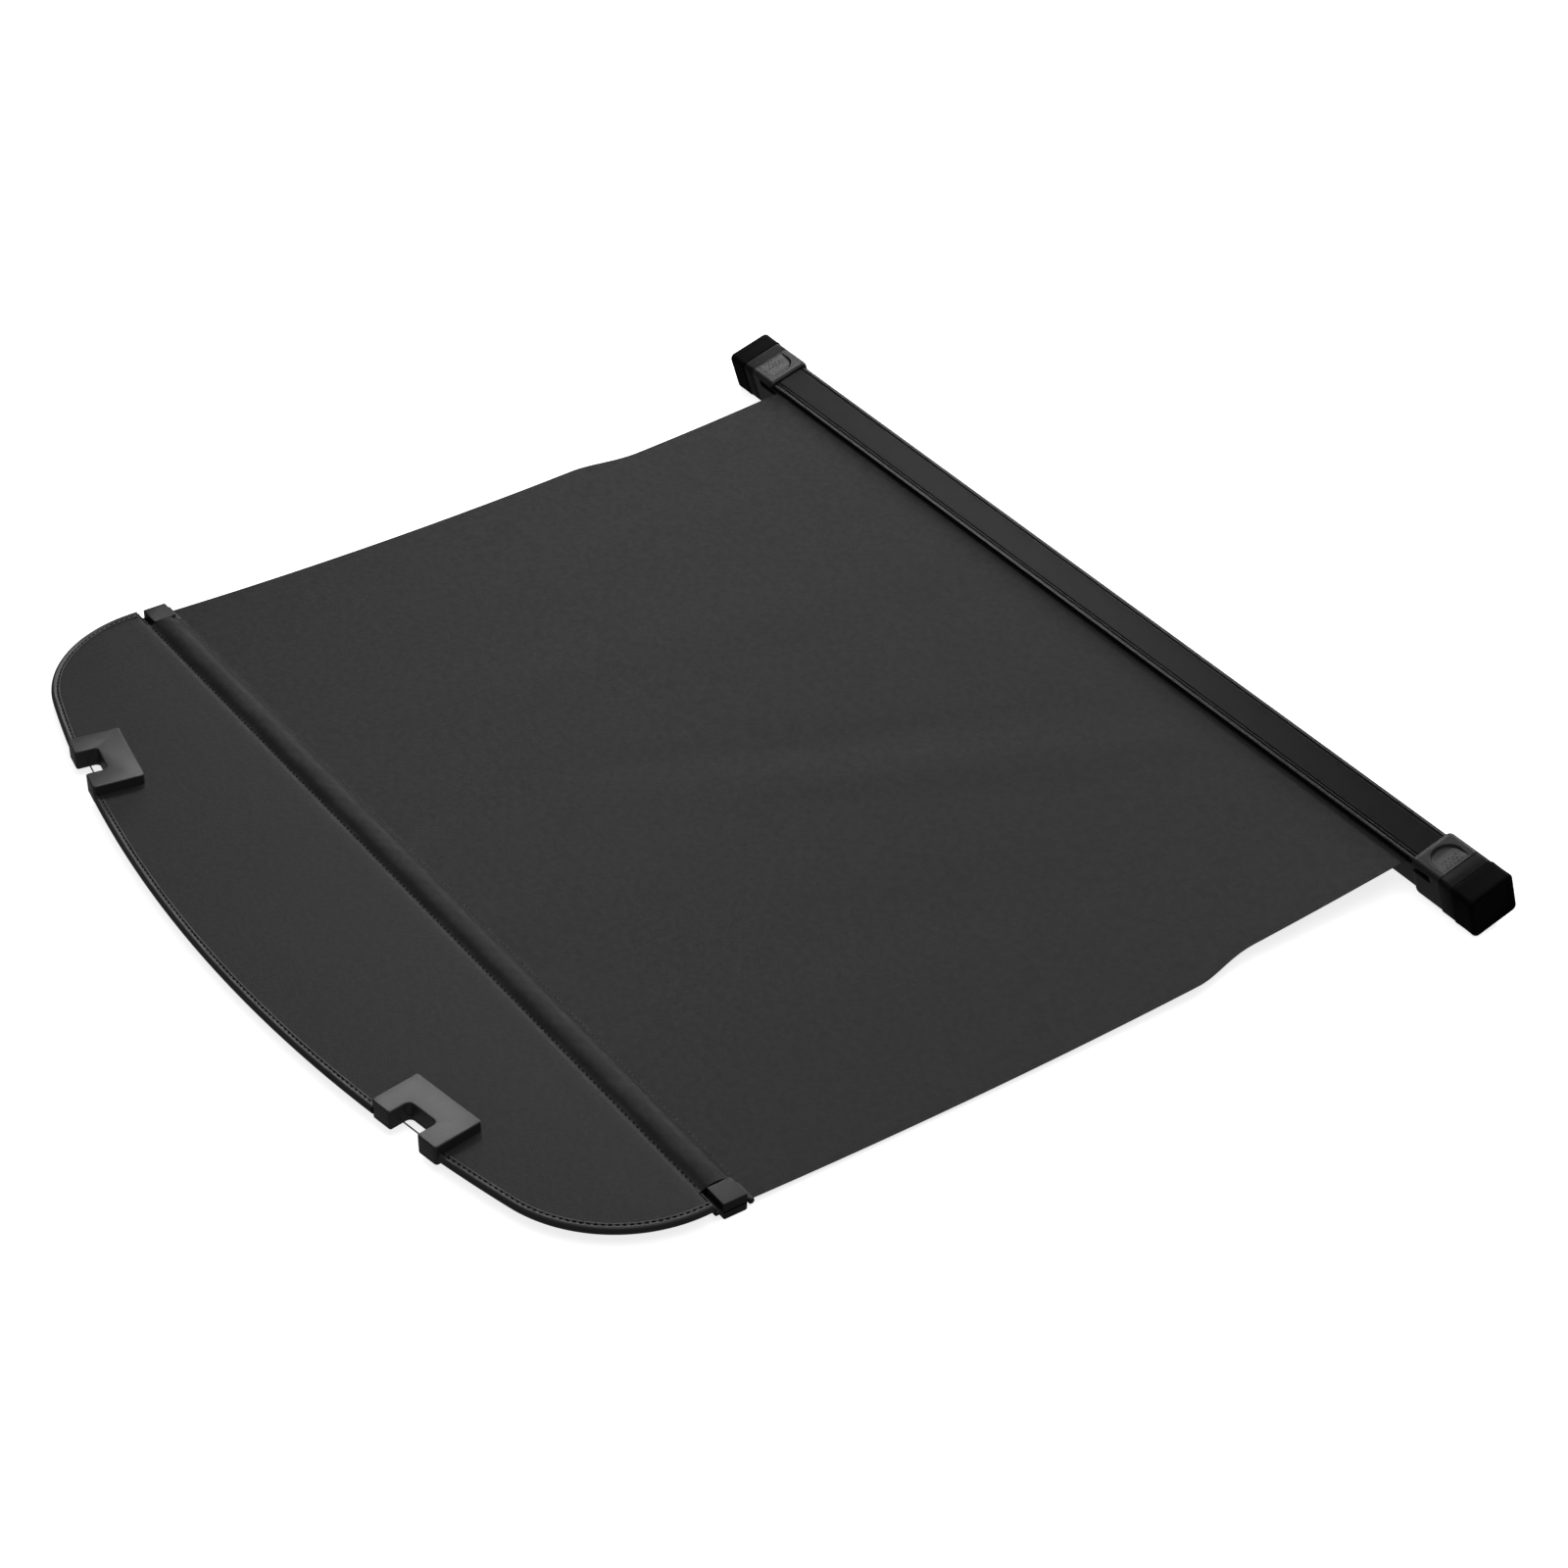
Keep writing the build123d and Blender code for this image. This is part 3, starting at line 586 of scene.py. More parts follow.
def make_roll():
    """The turns of the cover left on the roller, as one spiral of cloth."""
    outer, inner = [], []
    steps = 90
    for k in range(steps + 1):
        turned = ROLL_TURNS * k / steps
        turn = math.tau * (turned - ROLL_TURNS) + math.radians(90)
        radius = TUBE_R + 0.03 + ROLL_GAIN * turned
        for side, reach in ((inner, radius), (outer, radius + ROLL_CLOTH_T)):
            side.append((math.cos(turn) * reach, ROLLER_Z + math.sin(turn) * reach))
    shape = along_x(outer + inner[::-1], (-SHEET_MOUTH_HALF, -225, 0, 225, SHEET_MOUTH_HALF))
    roll = piece("cover_roll", shape, "cover_vinyl", "roller", ["wound_cloth"], angle=60)


# ---------- push-in ends ----------
def recess_depth(x, y):
    """How deep the D-shaped thumb recess is at a point of the sleeve's top."""
    middle = RECESS_EDGE - RECESS_LENGTH + RECESS_R
    round_end = RECESS_R - math.hypot(min(0.0, x - middle), y)
    inside = min(round_end, RECESS_EDGE - x)
    if inside <= 0:
        return 0.0
    share = (RECESS_EDGE - x) / RECESS_LENGTH
    floor = RECESS_RISE + (RECESS_DEPTH - RECESS_RISE) * smooth(share * 1.3)
    wall = min(inside, 0.9) / 0.9 if round_end > RECESS_EDGE - x else inside / 2.4
    return floor * smooth(max(wall, inside / 2.4))


def sleeve_rings():
    """Matching outer and inner section points; the outer ones are fine across the top."""
    outer, inner = [], []
    r, ri = SLEEVE_CORNER, BORE_CORNER
    w = SLEEVE_W / 2 - r
    wi, hi = BORE_W / 2 - ri, BORE_H / 2 - ri
    top, steps = 104, 9
    for k in range(top + 1):
        share = 1 - 2 * k / top
        outer.append((w * share, SLEEVE_H / 2))
        inner.append((wi * share, hi + ri))
    for sx, sz, start in ((-1, 1, 90), (-1, -1, 180), (1, -1, 270), (1, 1, 0)):
        first = 1 if start == 90 else 0
        last = steps - 1 if start == 0 else steps
        size = r if sz > 0 else SLEEVE_LOW_CORNER
        middle_y, middle_z = sx * (SLEEVE_W / 2 - size), sz * (SLEEVE_H / 2 - size)
        for k in range(first, last + 1):
            turn = math.radians(start + 90 * k / steps)
            outer.append((middle_y + size * math.cos(turn), middle_z + size * math.sin(turn)))
            inner.append((sx * wi + ri * math.cos(turn), sz * hi + ri * math.sin(turn)))
    return outer, inner


def cut_out(shape, cutter):
    """The shape less the cutter, both as (points, faces)."""
    made = []
    for points, faces in (shape, cutter):
        made.append(bpy.data.objects.new("cut", closed_mesh("cut", points, faces, 0.002)))
        scene.collection.objects.link(made[-1])
    change = made[0].modifiers.new("cut", "BOOLEAN")
    change.operation = "DIFFERENCE"
    change.solver = "EXACT"
    change.object = made[1]
    mesh = made[0].evaluated_get(bpy.context.evaluated_depsgraph_get()).to_mesh()
    points = [tuple(v.co) for v in mesh.vertices]
    faces = [tuple(f.vertices) for f in mesh.polygons]
    for one in made:
        bpy.data.objects.remove(one)
    return points, faces


def sheet_mouth():
    """The opening in the sleeve's front wall, where the sheet's edge goes in when the end is pushed."""
    front, back = -SLEEVE_W / 2 - 1, -CASE_W / 2 - 0.2
    corner = MOUTH_CORNER
    rings = []
    for y in (front, back):
        ring = []
        for cz, start in ((MOUTH_LOW + corner, 270), (MOUTH_HIGH - corner, 0)):
            for turn in range(start, start + 91, 15):
                c, w = math.cos(math.radians(turn)), math.sin(math.radians(turn))
                ring.append(seated(MOUTH_OUT - corner + corner * c, y, cz + corner * w))
        ring += [seated(SLEEVE_IN - 4, y, MOUTH_HIGH), seated(SLEEVE_IN - 4, y, MOUTH_LOW)]
        rings.append(ring)
    return loft(rings)


def grip_sleeve():
    outer, inner = sleeve_rings()
    mouth = SLEEVE_IN - SLEEVE_FLARE
    full = mouth + SLEEVE_LEAD
    rings = [
        [seated(BAND_IN, y, z) for y, z in inner],
        [seated(mouth + 0.3, y, z) for y, z in inner],
        [seated(mouth, y * 1.01, z * 1.01) for y, z in inner],
    ]
    for k in range(7):
        turn = math.radians(90 * k / 7)
        drop = SLEEVE_ROUND * (1 - math.sin(turn))
        x = mouth + SLEEVE_LEAD * (1 - math.cos(turn))
        shrink_y, shrink_z = 1 - drop / (SLEEVE_W / 2), 1 - drop / (SLEEVE_H / 2)
        rings.append([seated(x, y * shrink_y, z * shrink_z) for y, z in outer])
    for x in [full + (BAND_IN - full) * k / 100 for k in range(101)]:
        ring = []
        for y, z in outer:
            lower = recess_depth(x, y) if z > SLEEVE_H / 2 - 0.01 else 0.0
            ring.append(seated(x, y, z - lower))
        rings.append(ring)
    shapes = [cut_out(loft(rings, closed=True), sheet_mouth())]
    for row, count in enumerate(DOT_COUNTS):
        x = RECESS_EDGE - 3.4 - 3.5 * row
        for place in range(count):
            y = (place - (count - 1) / 2) * 3.7
            shapes.append(dome(x, y, SLEEVE_H / 2 - recess_depth(x, y), DOT_R, DOT_H))
    return joined(shapes)


def dome(x, y, z, radius, height):
    """A small raised dot standing on the sleeve."""
    rings = []
    for size, lift in ((1.0, -0.3), (1.0, 0.0), (0.86, 0.5), (0.5, 0.86), (0.12, 1.0)):
        rings.append([seated(x + a, y + b, z + height * lift) for a, b in ring_points(radius * size, 10)])
    return loft(rings)


def cup_rings(stages):
    """Rings from (x, width, height, corner radius) stages, all with the same number of points."""
    return [[seated(x, y, z) for y, z in rounded(w, h, r, 8)] for x, w, h, r in stages]


def end_band():
    w, h = BAND_W, BAND_H
    stages = [
        (CUP_DEEP, CUP_BORE, CUP_BORE, 6.49), (BLOCK_IN, CUP_BORE, CUP_BORE, 6.49),
        (BLOCK_IN, BORE_W, BORE_H, BORE_CORNER), (BAND_IN, BORE_W, BORE_H, BORE_CORNER),
        (BAND_IN, w - 0.8, h - 0.8, 4.6), (BAND_IN + 0.12, w - 0.25, h - 0.25, 4.9),
        (BAND_IN + 0.4, w, h, 5.0),
        (BOOT_IN - 0.7, w, h, 5.0), (BOOT_IN - 0.2, w - 0.4, h - 0.4, 4.8), (BOOT_IN, w - 1.2, h - 1.2, 4.4),
        (BOOT_IN, CUP_W, CUP_W, 8.99), (CUP_OUT, CUP_W, CUP_W, 8.99),
    ]
    return loft(cup_rings(stages))


def rubber_boot():
    w, h, r = BOOT_W, BOOT_H, BOOT_CORNER
    start, hollow = BOOT_IN + 0.02, CUP_W + 0.1
    stages = [(519.3, hollow, hollow, 9.04), (start, hollow, hollow, 9.04)]
    for k in range(5):
        turn = math.radians(90 * k / 4)
        inset = BOOT_RIM_R * (1 - math.sin(turn))
        stages.append((start + BOOT_RIM_R * (1 - math.cos(turn)), w - inset, h - inset, r - inset / 2))
    stages += [(512.0, w - 0.25, h - 0.25, r), (518.0, w - 0.35, h - 0.35, r), (524.0, w - 0.1, h - 0.1, r)]
    for k in range(8):
        turn = math.radians(90 * k / 7)
        inset = BOOT_END_R * (1 - math.cos(turn))
        x = HALF - BOOT_END_R + BOOT_END_R * math.sin(turn)
        stages.append((x, w - 2 * inset, h - 2 * inset, max(1.5, r - inset * 0.75)))
    stages += [(HALF - 0.1, w - 10, h - 10, 2.6), (HALF - 1.3, w - 12, h - 12, 2.4)]
    stages.append((HALF - 1.5, w - 14, h - 14, 2.2))
    return loft(cup_rings(stages))


def make_ends():
    ends = ("left_end", "right_end")
    both_sides("thumb_grip", grip_sleeve(), "grip_plastic", ends, "grip_sleeve", angle=50)
    both_sides("end_band", end_band(), "band_plastic", ends, "end_block")
    both_sides("end_boot", rubber_boot(), "rubber_black", ends, "rubber_boot", angle=55)


# ---------- sheet ----------
CREASES = (
    # x, y, direction in degrees, half length, half width, height
    (120.0, 180.0, 62.0, 240.0, 26.0, 0.9),
    (30.0, 120.0, 64.0, 200.0, 22.0, -0.7),
    (-180.0, 60.0, 80.0, 260.0, 40.0, 0.8),
    (260.0, 20.0, 75.0, 220.0, 45.0, -0.7),
    (-330.0, 120.0, 88.0, 220.0, 45.0, 0.6),
    (90.0, -110.0, 100.0, 120.0, 40.0, 0.7),
    (-60.0, -160.0, 85.0, 100.0, 30.0, -0.5),
)


def crease_height(x, y):
    total = 0.0
    for cx, cy, turn, length, width, height in CREASES:
        c, s = math.cos(math.radians(turn)), math.sin(math.radians(turn))
        along, across = (x - cx) * c + (y - cy) * s, -(x - cx) * s + (y - cy) * c
        total += height * math.exp(-((across / width) ** 2) - (along / length) ** 2)
    return total * smooth((y - CREASE_END_Y) / 40) * smooth((SLOT_Y - y) / 60)


def sheet_half(y):
    """Half the sheet's width at a given distance, with the smooth step on each side."""
    d = CASE_Y - y
    if d < STEP_NEAR:
        return SHEET_MOUTH_HALF + (SHEET_STEP_HALF - SHEET_MOUTH_HALF) * d / STEP_NEAR
    if d > STEP_FAR:
        return SHEET_WIDE_HALF + SHEET_WIDENING * (d - STEP_FAR) / WIDE_RUN
    t = (d - STEP_NEAR) / (STEP_FAR - STEP_NEAR)
    return SHEET_STEP_HALF + (SHEET_WIDE_HALF - SHEET_STEP_HALF) * smooth(t**1.15)


def sheet_z(y):
    end_y = BAR_Y + SHEET_SEAM
    middle, half = (SLOT_Y + end_y) / 2, (SLOT_Y - end_y) / 2
    u = (y - middle) / half
    chord = SHEET_END_Z + (SLOT_Z - SHEET_END_Z) * (y - end_y) / (2 * half)
    return chord - SHEET_SAG * (1 - u * u)


def make_sheet():
    roll_y, roll_z = seated(0, 2.0, ROLLER_Z + 9.8)[1:]
    rows = [(roll_y, roll_z), ((roll_y + SLOT_Y) / 2, (roll_z + SLOT_Z) / 2)]
    count, across = 150, 130
    end_y = BAR_Y + SHEET_SEAM + 0.2
    for k in range(count + 1):
        y = SLOT_Y + (end_y - SLOT_Y) * k / count
        rows.append((y, sheet_z(y)))
    top, bottom = [], []
    for y, z in rows:
        half = sheet_half(y)
        upper, lower = [], []
        for j in range(across + 1):
            x = half * (2 * j / across - 1)
            thinned = 0.12 * (1 - min(1.0, (half - abs(x)) / 2.5))
            level = z + crease_height(x, y)
            upper.append((x, y, level + CLOTH_T / 2 - thinned))
            lower.append((x, y, level - CLOTH_T / 2 + thinned))
        top.append(upper)
        bottom.append(lower)
    cover = piece("cover_cloth", plate(top, bottom), "cover_vinyl", "cassette", ["cover_sheet"], angle=60)
    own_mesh(cover)


# ---------- pull bar ----------
# The sewn sleeve's section round the bar, from the sheet's seam over the top to the flap's and back below
SLEEVE_PROFILE = (
    (17.4, 7.1), (16.4, 7.75), (14.6, 8.7), (12.0, 11.1), (8.0, 14.2), (3.0, 16.3), (-2.0, 16.9),
    (-6.0, 16.65), (-9.4, 15.85), (-12.8, 14.6), (-15.4, 13.7), (-17.2, 13.35), (-17.2, 12.4), (-15.6, 11.5),
    (-11.6, 5.2), (-4.0, 0.95), (5.0, 0.85), (11.5, 3.1), (15.4, 5.7), (17.4, 6.5),
)


def inner_radius(turn, half_w, half_h, radius):
    """Distance from the middle of a rounded rectangle to its edge in a direction."""
    low, high = 0.0, 40.0
    for _ in range(28):
        mid = (low + high) / 2
        y, z = abs(mid * math.cos(turn)), abs(mid * math.sin(turn))
        dy, dz = max(0.0, y - half_w + radius), max(0.0, z - half_h + radius)
        if y <= half_w and z <= half_h and math.hypot(dy, dz) <= radius:
            low = mid
        else:
            high = mid
    return low


def gathers(x, y, z):
    """How far the sewn sleeve stands off its smooth section: soft folds, and puckers at both seams."""
    bulge = smooth((z - 8.5) / 6) * smooth((11.5 - y) / 6) * smooth((y + 16) / 4)
    sway = 0.16 * math.sin(x / 31.0 + 1.1) + 0.14 * math.sin(x / 13.7 + y * 0.12)
    sway += 0.09 * math.sin(x / 7.3 - y * 0.2)
    fine = 0.035 * math.sin(x / 1.9 + y * 0.55) + 0.03 * math.sin(x / 2.7 - y * 0.35 + 2.0)
    front_seam = smooth(1 - abs(y - FRONT_SEAM_Y) / 4.5) if z > 11 else 0.0
    sheet_seam = smooth(1 - abs(y - SHEET_SEAM_Y) / 3.0) if z > 7 else 0.0
    pull = 0.5 + 0.5 * math.cos(math.tau * x / STITCH_PITCH)
    return bulge * (sway + fine) - (0.22 * front_seam + 0.08 * sheet_seam) * pull


def make_bar_sleeve():
    outline = closed_spline(SLEEVE_PROFILE, 84)
    count = 640
    hole = []
    for y, z in outline:
        turn = math.atan2(z - BAR_AXIS_Z, y)
        reach = inner_radius(turn, TUBE_HALF_W, TUBE_HALF_H, TUBE_CORNER)
        hole.append((reach * math.cos(turn), BAR_AXIS_Z + reach * math.sin(turn)))
    outer_rings, inner_rings = [], []
    for k in range(count + 1):
        x = (BAR_HALF - 0.1) * (2 * k / count - 1)
        outer_rings.append([(x, BAR_Y + y, z + gathers(x, y, z)) for y, z in outline])
        inner_rings.append([(x, BAR_Y + y, z) for y, z in hole])
    shape = loft(outer_rings + inner_rings[::-1], closed=True)
    sleeve = piece("bar_sleeve_cloth", shape, "cover_vinyl", "pull_bar", ["bar_sleeve"], angle=60)
    threads = []
    for k in range(int(2 * BAR_HALF / STITCH_PITCH) - 1):
        x = -BAR_HALF + STITCH_PITCH * (k + 1.2)
        threads.append(stitch((x, BAR_Y - 15.9, 14.5), (1, 0, 0), (0, 0.1, 1), radius=0.6))
        threads.append(stitch((x, BAR_Y + 16.15, 7.85), (1, 0, 0), (0, 0.25, 1), radius=0.3))
    seams = piece("bar_seam_threads", joined(threads), THREAD, "pull_bar", angle=80)


def slab(outline_at, levels):
    """A solid from an outline function: levels is a list of (inset, z)."""
    return loft([[(x, y, z) for x, y in outline_at(inset)] for inset, z in levels])


def quarter(radius, z, steps=5, up=True):
    """Levels that round an edge over to a flat top, or up from a flat base."""
    made = []
    for k in range(steps + 1):
        turn = math.radians(90 * k / steps)
        if up:
            made.append((radius * (1 - math.cos(turn)), z - radius + radius * math.sin(turn)))
        else:
            made.append((radius * (1 - math.sin(turn)), z + radius - radius * math.cos(turn)))
    return made


def box_outline(x_low, x_high, y_low, y_high, radius):
    def at(inset):
        r = max(0.15, radius - inset)
        x0, x1, y0, y1 = x_low + inset, x_high - inset, y_low + inset, y_high - inset
        return turned_corners([(x0, y0, r, 5), (x1, y0, r, 5), (x1, y1, r, 5), (x0, y1, r, 5)])
    return at


def bar_cap():
    start, end = BAR_HALF + CAP_GAP, CAP_OUT
    head_at = box_outline(start, end, BAR_Y - 11.2, BAR_Y + 10.2, 1.3)
    head = slab(head_at, [(0.0, 8.9)] + quarter(0.8, 16.0))
    flange_at = box_outline(start, end - 1.2, BAR_Y - 17.2, BAR_Y + 15.5, 1.0)
    flange = slab(flange_at, quarter(0.5, 6.6, 3, False) + quarter(0.6, 9.0, 3))
    fin_at = box_outline(start, end - 1.2, BAR_Y - 16.8, BAR_Y - 15.5, 0.5)
    fin = slab(fin_at, [(0.0, 6.8)] + quarter(0.4, 13.4, 3))
    foot = []
    for k in range(7):
        rise = k / 6
        sides_at = box_outline(start, end - 0.6, BAR_Y - 10.4 - 0.5 * rise, BAR_Y + 10.2 + 0.3 * rise, 1.4)
        foot.append([(x, y, 6.7 * rise) for x, y in sides_at(0.0 if k else 0.7)])
    knob = []
    for x, radius in ((end - 2, 2.6), (end + 0.3, 2.6), (end + 0.7, 2.35), (end + 0.9, 1.8)):
        knob.append([(x, BAR_Y + 12.9 + a, 7.8 + b) for a, b in ring_points(radius, 20)])
    spigot = []
    for x in (start - 14, start + 0.5):
        spigot.append([(x, BAR_Y + y, BAR_AXIS_Z + z) for y, z in rounded(15.3, 10.5, 3.6, 5)])
    return joined([head, flange, fin, loft(foot), loft(knob), loft(spigot)])


# ---------- flap ----------
def flap_edge():
    """The flap's outline from its right-hand fold corner round to the left, as (point, inward direction)."""
    middle = Vector((0, TIP_Y + ARC_R))
    across = FLAP_HALF - CORNER_R
    corner = Vector((across, middle.y - math.sqrt((ARC_R - CORNER_R) ** 2 - across**2)))
    made = []
    for k in range(5):
        made.append((Vector((FLAP_HALF, FLAP_Y + (corner.y - FLAP_Y) * k / 5)), Vector((-1, 0))))
    out = (corner - middle).normalized()
    last = math.atan2(out.y, out.x)
    steps = int(abs(last) * CORNER_R / 2)
    for k in range(steps):
        turn = last * k / steps
        away = Vector((math.cos(turn), math.sin(turn)))
        made.append((corner + away * CORNER_R, -away))
    half_sweep = last + math.pi / 2
    steps = int(half_sweep * ARC_R / 2)
    for k in range(steps + 1):
        turn = last - half_sweep * k / steps
        away = Vector((math.cos(turn), math.sin(turn)))
        made.append((middle + away * ARC_R, -away))
    left = [(Vector((-p.x, p.y)), Vector((-n.x, n.y))) for p, n in made[-2::-1]]
    return made + left


EDGE = flap_edge()


def hook_local(x, y):
    """A row-frame point in its nearer bracket's own axes."""
    dx, dy = abs(x) - HOOK_X, y - HOOK_Y
    c, s = math.cos(HOOK_TURN), math.sin(HOOK_TURN)
    return dx * c + dy * s, -dx * s + dy * c


def hooked(x, y, z):
    """A point given in the right-hand bracket's own axes, in the row frame."""
    c, s = math.cos(HOOK_TURN), math.sin(HOOK_TURN)
    return (HOOK_X + x * c - y * s, HOOK_Y + x * s + y * c, z)


def edge_y(inset):
    """The outline's y as a function of x, drawn in by inset, with the pockets under the brackets."""
    line = [(p + n * inset) for p, n in EDGE][::-1]
    xs, ys = [p.x for p in line], [p.y for p in line]

    def at(x):
        low, high = 0, len(xs) - 1
        while high - low > 1:
            mid = (low + high) // 2
            if xs[mid] <= x:
                low = mid
            else:
                high = mid
        share = (x - xs[low]) / max(1e-9, xs[high] - xs[low])
        y = ys[low] + (ys[high] - ys[low]) * share
        cut = HOOK_Y + POCKET_Y / math.cos(HOOK_TURN) + (abs(x) - HOOK_X) * math.tan(HOOK_TURN)
        if abs(hook_local(x, cut)[0]) < POCKET_HALF:
            y = max(y, cut)
        return y

    return at


def flap_cloth(near, level):
    """A grid of points over the flap: near is [(y, z)] by the fold, and level gives the height beyond it."""
    end_at = edge_y(SKIN_EDGE)
    widest = max((p + n * SKIN_EDGE).x for p, n in EDGE) - 0.02
    columns, rows_far = 420, 34
    start = near[-1][0]
    grid = []
    for j in range(columns + 1):
        t = 2 * j / columns - 1
        x = widest * (0.55 * t + 0.45 * math.sin(math.pi * t / 2))
        stop = end_at(x)
        beside_cap = abs(x) > BAR_HALF + 1.5
        column = []
        for row, (y, z) in enumerate(near):
            if beside_cap:
                y = min(y, CAP_CLEAR_Y - 0.02 * row)
            column.append((x, max(y, stop), z))
        for k in range(1, rows_far + 1):
            y = start + (stop - start) * k / rows_far if stop < start else stop
            column.append((x, y, level(x, y, stop)))
        grid.append(column)
    return grid


def offset_grid(grid, drop):
    return [[(x, y, z - drop) for x, y, z in column] for column in grid]


TOP_BY_FOLD = (
    (-273.4, 14.25), (-274.3, 14.3), (-275.3, 14.5), (-276.4, 14.95), (-277.4, 15.4), (-278.2, 15.72),
    (-278.9, 15.95), (-279.7, 16.1), (-280.8, 16.25), (-282.4, 16.4), (-285.0, 16.55), (-289.0, 16.65),
)
UNDER_BY_FOLD = (
    (-274.2, 11.5), (-275.2, 11.6), (-276.4, 11.9), (-277.6, 12.2), (-279.0, 12.4), (-281.0, 12.4),
    (-285.0, 12.4), (-289.0, 12.4),
)


def top_level(x, y, stop):
    """Height of the flap's top cloth, with a slight crown and soft waves."""
    crown = smooth((FOLD_Y - 8 - y) / 50) * smooth((y - stop) / 60)
    waves = 0.14 * math.sin(x / 83 + 0.6) * math.sin(y / 37 + x / 190) + 0.10 * math.sin(x / 151 - y / 61)
    return SKIN_TOP + crown * (0.35 + waves)


def make_flap():
    top = flap_cloth(TOP_BY_FOLD, top_level)
    top_skin = plate(top, offset_grid(top, SKIN_T))
    cloth = piece("flap_top_cloth", top_skin, "flap_vinyl", None, ["flap_top_skin"], angle=60)
    under = flap_cloth(UNDER_BY_FOLD, lambda x, y, stop: SKIN_BASE)
    under_skin = plate(offset_grid(under, -SKIN_T), under)
    base = piece("flap_under_cloth", under_skin, "flap_vinyl", None, ["flap_bottom_skin"], angle=60)
    for one in (cloth, base):
        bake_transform(one)
    make_binding()


# The binding's section above its middle, as (distance in from the edge, height)
PIPE_TOP = (
    (7.6, 16.75), (7.5, 17.2), (7.1, 17.4), (6.4, 17.3), (PIPE_SEAM, 17.0), (5.1, 16.95), (4.5, 17.2),
    (3.9, 17.75), (3.0, 18.15), (2.1, 18.1), (1.2, 17.5), (0.5, 16.5), (0.1, 15.4), (0.0, 14.6),
)


def pipe_profile():
    """The binding's whole section: the upper half, its mirror image below, and a step round the flap."""
    low = [(d, 2 * PIPE_MIDDLE_Z - z) for d, z in PIPE_TOP[-2::-1]]
    inside = [(7.6, SKIN_BASE - 0.12), (3.0, SKIN_BASE - 0.12), (3.0, SKIN_TOP + 0.12)]
    return list(PIPE_TOP) + low + inside


def runs_between_hooks():
    """Lists of outline stations, cut where the brackets cover the binding."""
    runs, run = [], []
    for point, inward in EDGE:
        lx, ly = hook_local(point.x, point.y)
        if abs(lx) < HOOK_W / 2 - 1.5 and ly < 5:
            if run:
                runs.append(run)
            run = []
        else:
            run.append((point, inward))
    runs.append(run)
    return runs


def make_binding():
    shapes, threads = [], []
    for run in runs_between_hooks():
        rings, walked = [], 0.0
        for k, (point, inward) in enumerate(run):
            if k:
                walked += (point - run[k - 1][0]).length
            sway = 0.08 * math.sin(walked / 9.0) + 0.07 * math.sin(walked / 23.0 + 1.0)
            pucker = 0.13 * math.cos(math.tau * walked / STITCH_PITCH)
            ring = []
            for d, z in pipe_profile():
                at_seam = 0.0 if d == 3.0 else smooth(1 - abs(d - 4.6) / 2.2)
                lift = (pucker + sway) * at_seam * (1 if z > PIPE_MIDDLE_Z else -1)
                where = point + inward * d
                ring.append((where.x, where.y, z + lift))
            rings.append(ring)
        shapes.append(loft(rings))
        threads += run_stitches(run)
    piece("flap_binding", joined(shapes), "piping_vinyl", "flap", ["flap_piping"], angle=60)
    seams = piece("binding_threads", joined(threads), THREAD, "flap", angle=80)


def run_stitches(run):
    """Stitches along one run of the binding, above and below the flap."""
    made, due, walked = [], STITCH_PITCH / 2, 0.0
    for (a, na), (b, nb) in zip(run, run[1:]):
        step = (b - a).length
        while due <= walked + step:
            share = (due - walked) / step
            point = a.lerp(b, share) + na.lerp(nb, share) * PIPE_SEAM
            along = (b - a).to_3d()
            made.append(stitch((point.x, point.y, 17.15), along, (0, 0, 1), radius=0.62))
            made.append(stitch((point.x, point.y, 11.85), along, (0, 0, -1)))
            due += STITCH_PITCH
        walked += step
    return made


# ---------- hook brackets ----------
def notch_outline(front, back, notch_back, outer_r, inner_r, tip_r):
    """A bracket seen from above: a rectangle with a notch open at its front."""
    def at(inset):
        w, n = HOOK_W / 2 - inset, NOTCH_W / 2 + inset
        y0, y1, yn = front + inset, back - inset, notch_back + inset
        ro, rt = max(0.2, outer_r - inset), max(0.2, tip_r - inset)
        return turned_corners(
            [
                (-w, y0, ro, 6), (-n, y0, rt, 5), (-n, yn, inner_r + inset, 6), (n, yn, inner_r + inset, 6),
                (n, y0, rt, 5), (w, y0, ro, 6), (w, y1, ro, 6), (-w, y1, ro, 6),
            ]
        )
    return at


def hooked_slab(outline_at, levels):
    return loft([[hooked(x, y, z) for x, y in outline_at(inset)] for inset, z in levels])


# A clamp screw's sections, from its shank down to the recess in its head: radius and height
SCREW_RINGS = ((1.6, 12.0), (1.6, 8.4), (3.4, 8.2), (3.4, 7.7), (3.0, 7.25), (1.2, 7.15), (1.1, 7.9))


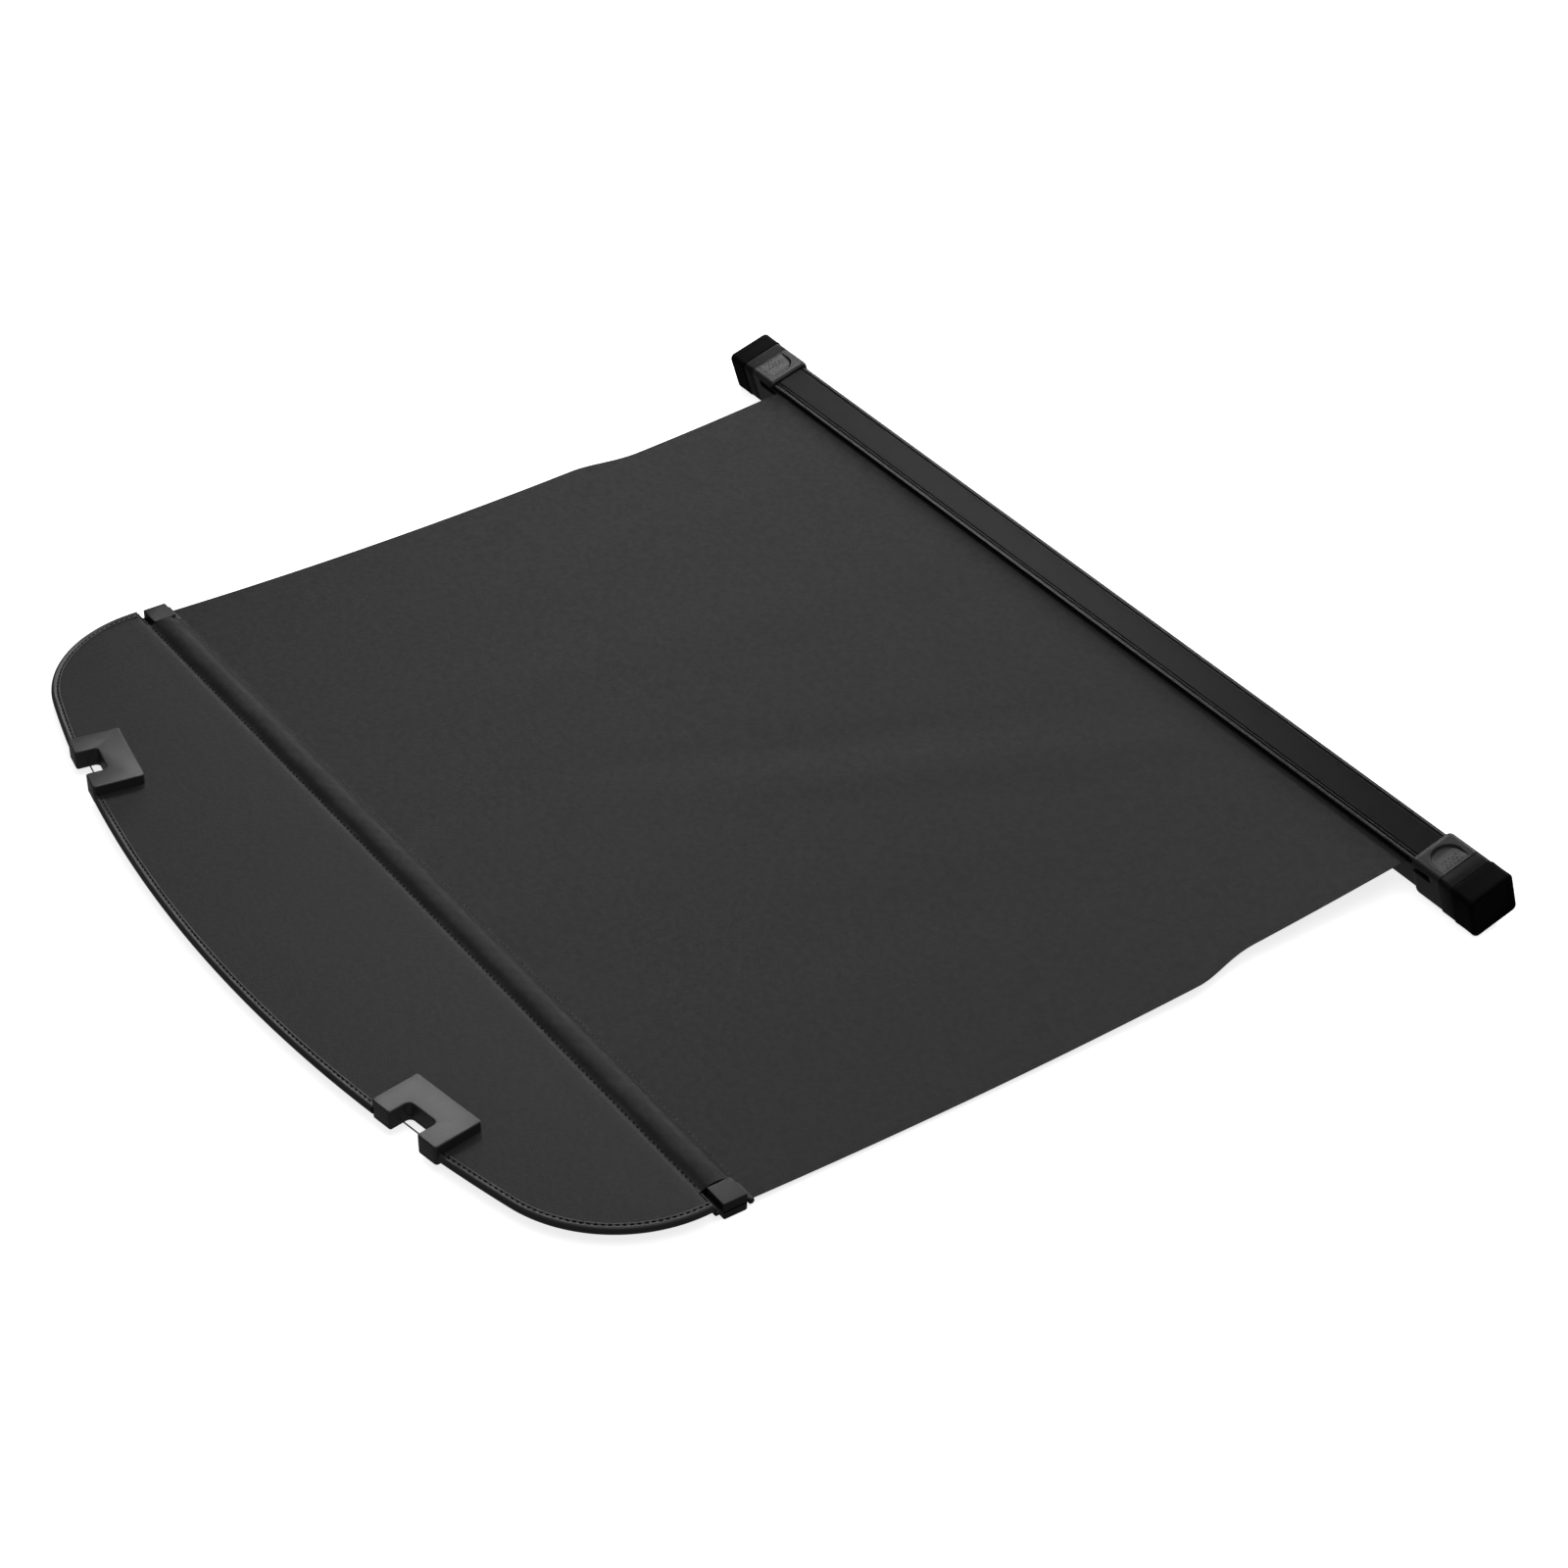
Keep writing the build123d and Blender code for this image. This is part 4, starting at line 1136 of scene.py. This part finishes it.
def make_hooks():
    front, back = -HOOK_D / 2, HOOK_D / 2
    notch_back = front + NOTCH_D
    whole = notch_outline(front, back, notch_back, 3.0, 4.0, 2.2)
    nose = notch_outline(front, -0.6, notch_back, 3.0, 2.2, 2.2)
    wall = [(0.0, SKIN_TOP + 0.06), (0.0, 20.0), (0.0, 23.8)]
    upper = hooked_slab(whole, wall + quarter(1.2, HOOK_TOP, 6))
    lip = [(0.35, SKIN_BASE + 0.06), (0.08, SKIN_BASE + 0.2), (0.0, SKIN_BASE + 0.5), (0.0, SKIN_TOP + 0.06)]
    chin = hooked_slab(nose, lip)
    rim = [(0.0, 11.7), (0.08, SKIN_BASE - 0.2), (0.3, SKIN_BASE - 0.06)]
    lower = hooked_slab(whole, quarter(2.0, HOOK_BASE, 5, False) + rim)
    bodies = ("flap", "flap")
    both_sides("hook_shell", joined([upper, chin]), "hook_plastic", bodies, "hook_bracket", angle=40)
    both_sides("hook_base", lower, "hook_plastic", bodies, "hook_clamp", angle=40)
    wire = []
    for k in range(25):
        x = WIRE_HALF * (2 * k / 24 - 1)
        wire.append([hooked(x, WIRE_Y + a, SKIN_BASE + b) for a, b in ring_points(WIRE_R, 12)])
    both_sides("catch_wire", loft(wire), WIRE, bodies, "hook_wire", angle=60)
    screws = []
    for x in (HOOK_SCREW_X, -HOOK_SCREW_X):
        rings = []
        for radius, z in SCREW_RINGS:
            rings.append([hooked(x + a, HOOK_SCREW_Y + b, z) for a, b in ring_points(radius, 24)])
        screws.append(loft(rings))
    heads = joined(screws)
    both_heads = joined([heads, mirrored(heads)])
    piece("hook_screw_heads", both_heads, "screw_steel", "flap", ["hook_screws"], angle=40)


# ---------- CAD nodes that stay, and the stage ----------
def finish_nodes():
    slots = {row["node"]: row["material_slot"] for row in frame["record"]["subparts"]}
    for name, shown in frame["nodes"].items():
        shown.data.materials.clear()
        shown.data.materials.append(FINISH[slots[name]])
        shade_smooth(shown.data, 30)
    for side, name in ((-1, "left"), (1, "right")):
        spring = frame["nodes"]["push_spring_" + name]
        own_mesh(spring)


def make_floor():
    mesh = bpy.data.meshes.new("floor")
    size, low = FLOOR_SIZE, FLOOR_Z
    corners = [(-size, -size, low), (size, -size, low), (size, size, low), (-size, size, low)]
    mesh.from_pydata(corners, [], [(0, 1, 2, 3)])
    pale = surface(
        "floor_pale", (0.93, 0.93, 0.93), 0.75, specular=0.1, vary=0.004, patch=0.5, rough_vary=0.02, glow=0.8
    )
    mesh.materials.append(pale)
    floor = bpy.data.objects.new("floor", mesh)
    scene.collection.objects.link(floor)
    floor.visible_glossy = False
    floor.visible_diffuse = False


make_camera()
make_light()
make_floor()
finish_nodes()
make_cassette()
make_roll()
make_ends()
make_bar_sleeve()
make_sheet()
both_sides("bar_end", bar_cap(), "cap_plastic", ("pull_bar", "pull_bar"), "bar_cap")
make_flap()
make_hooks()
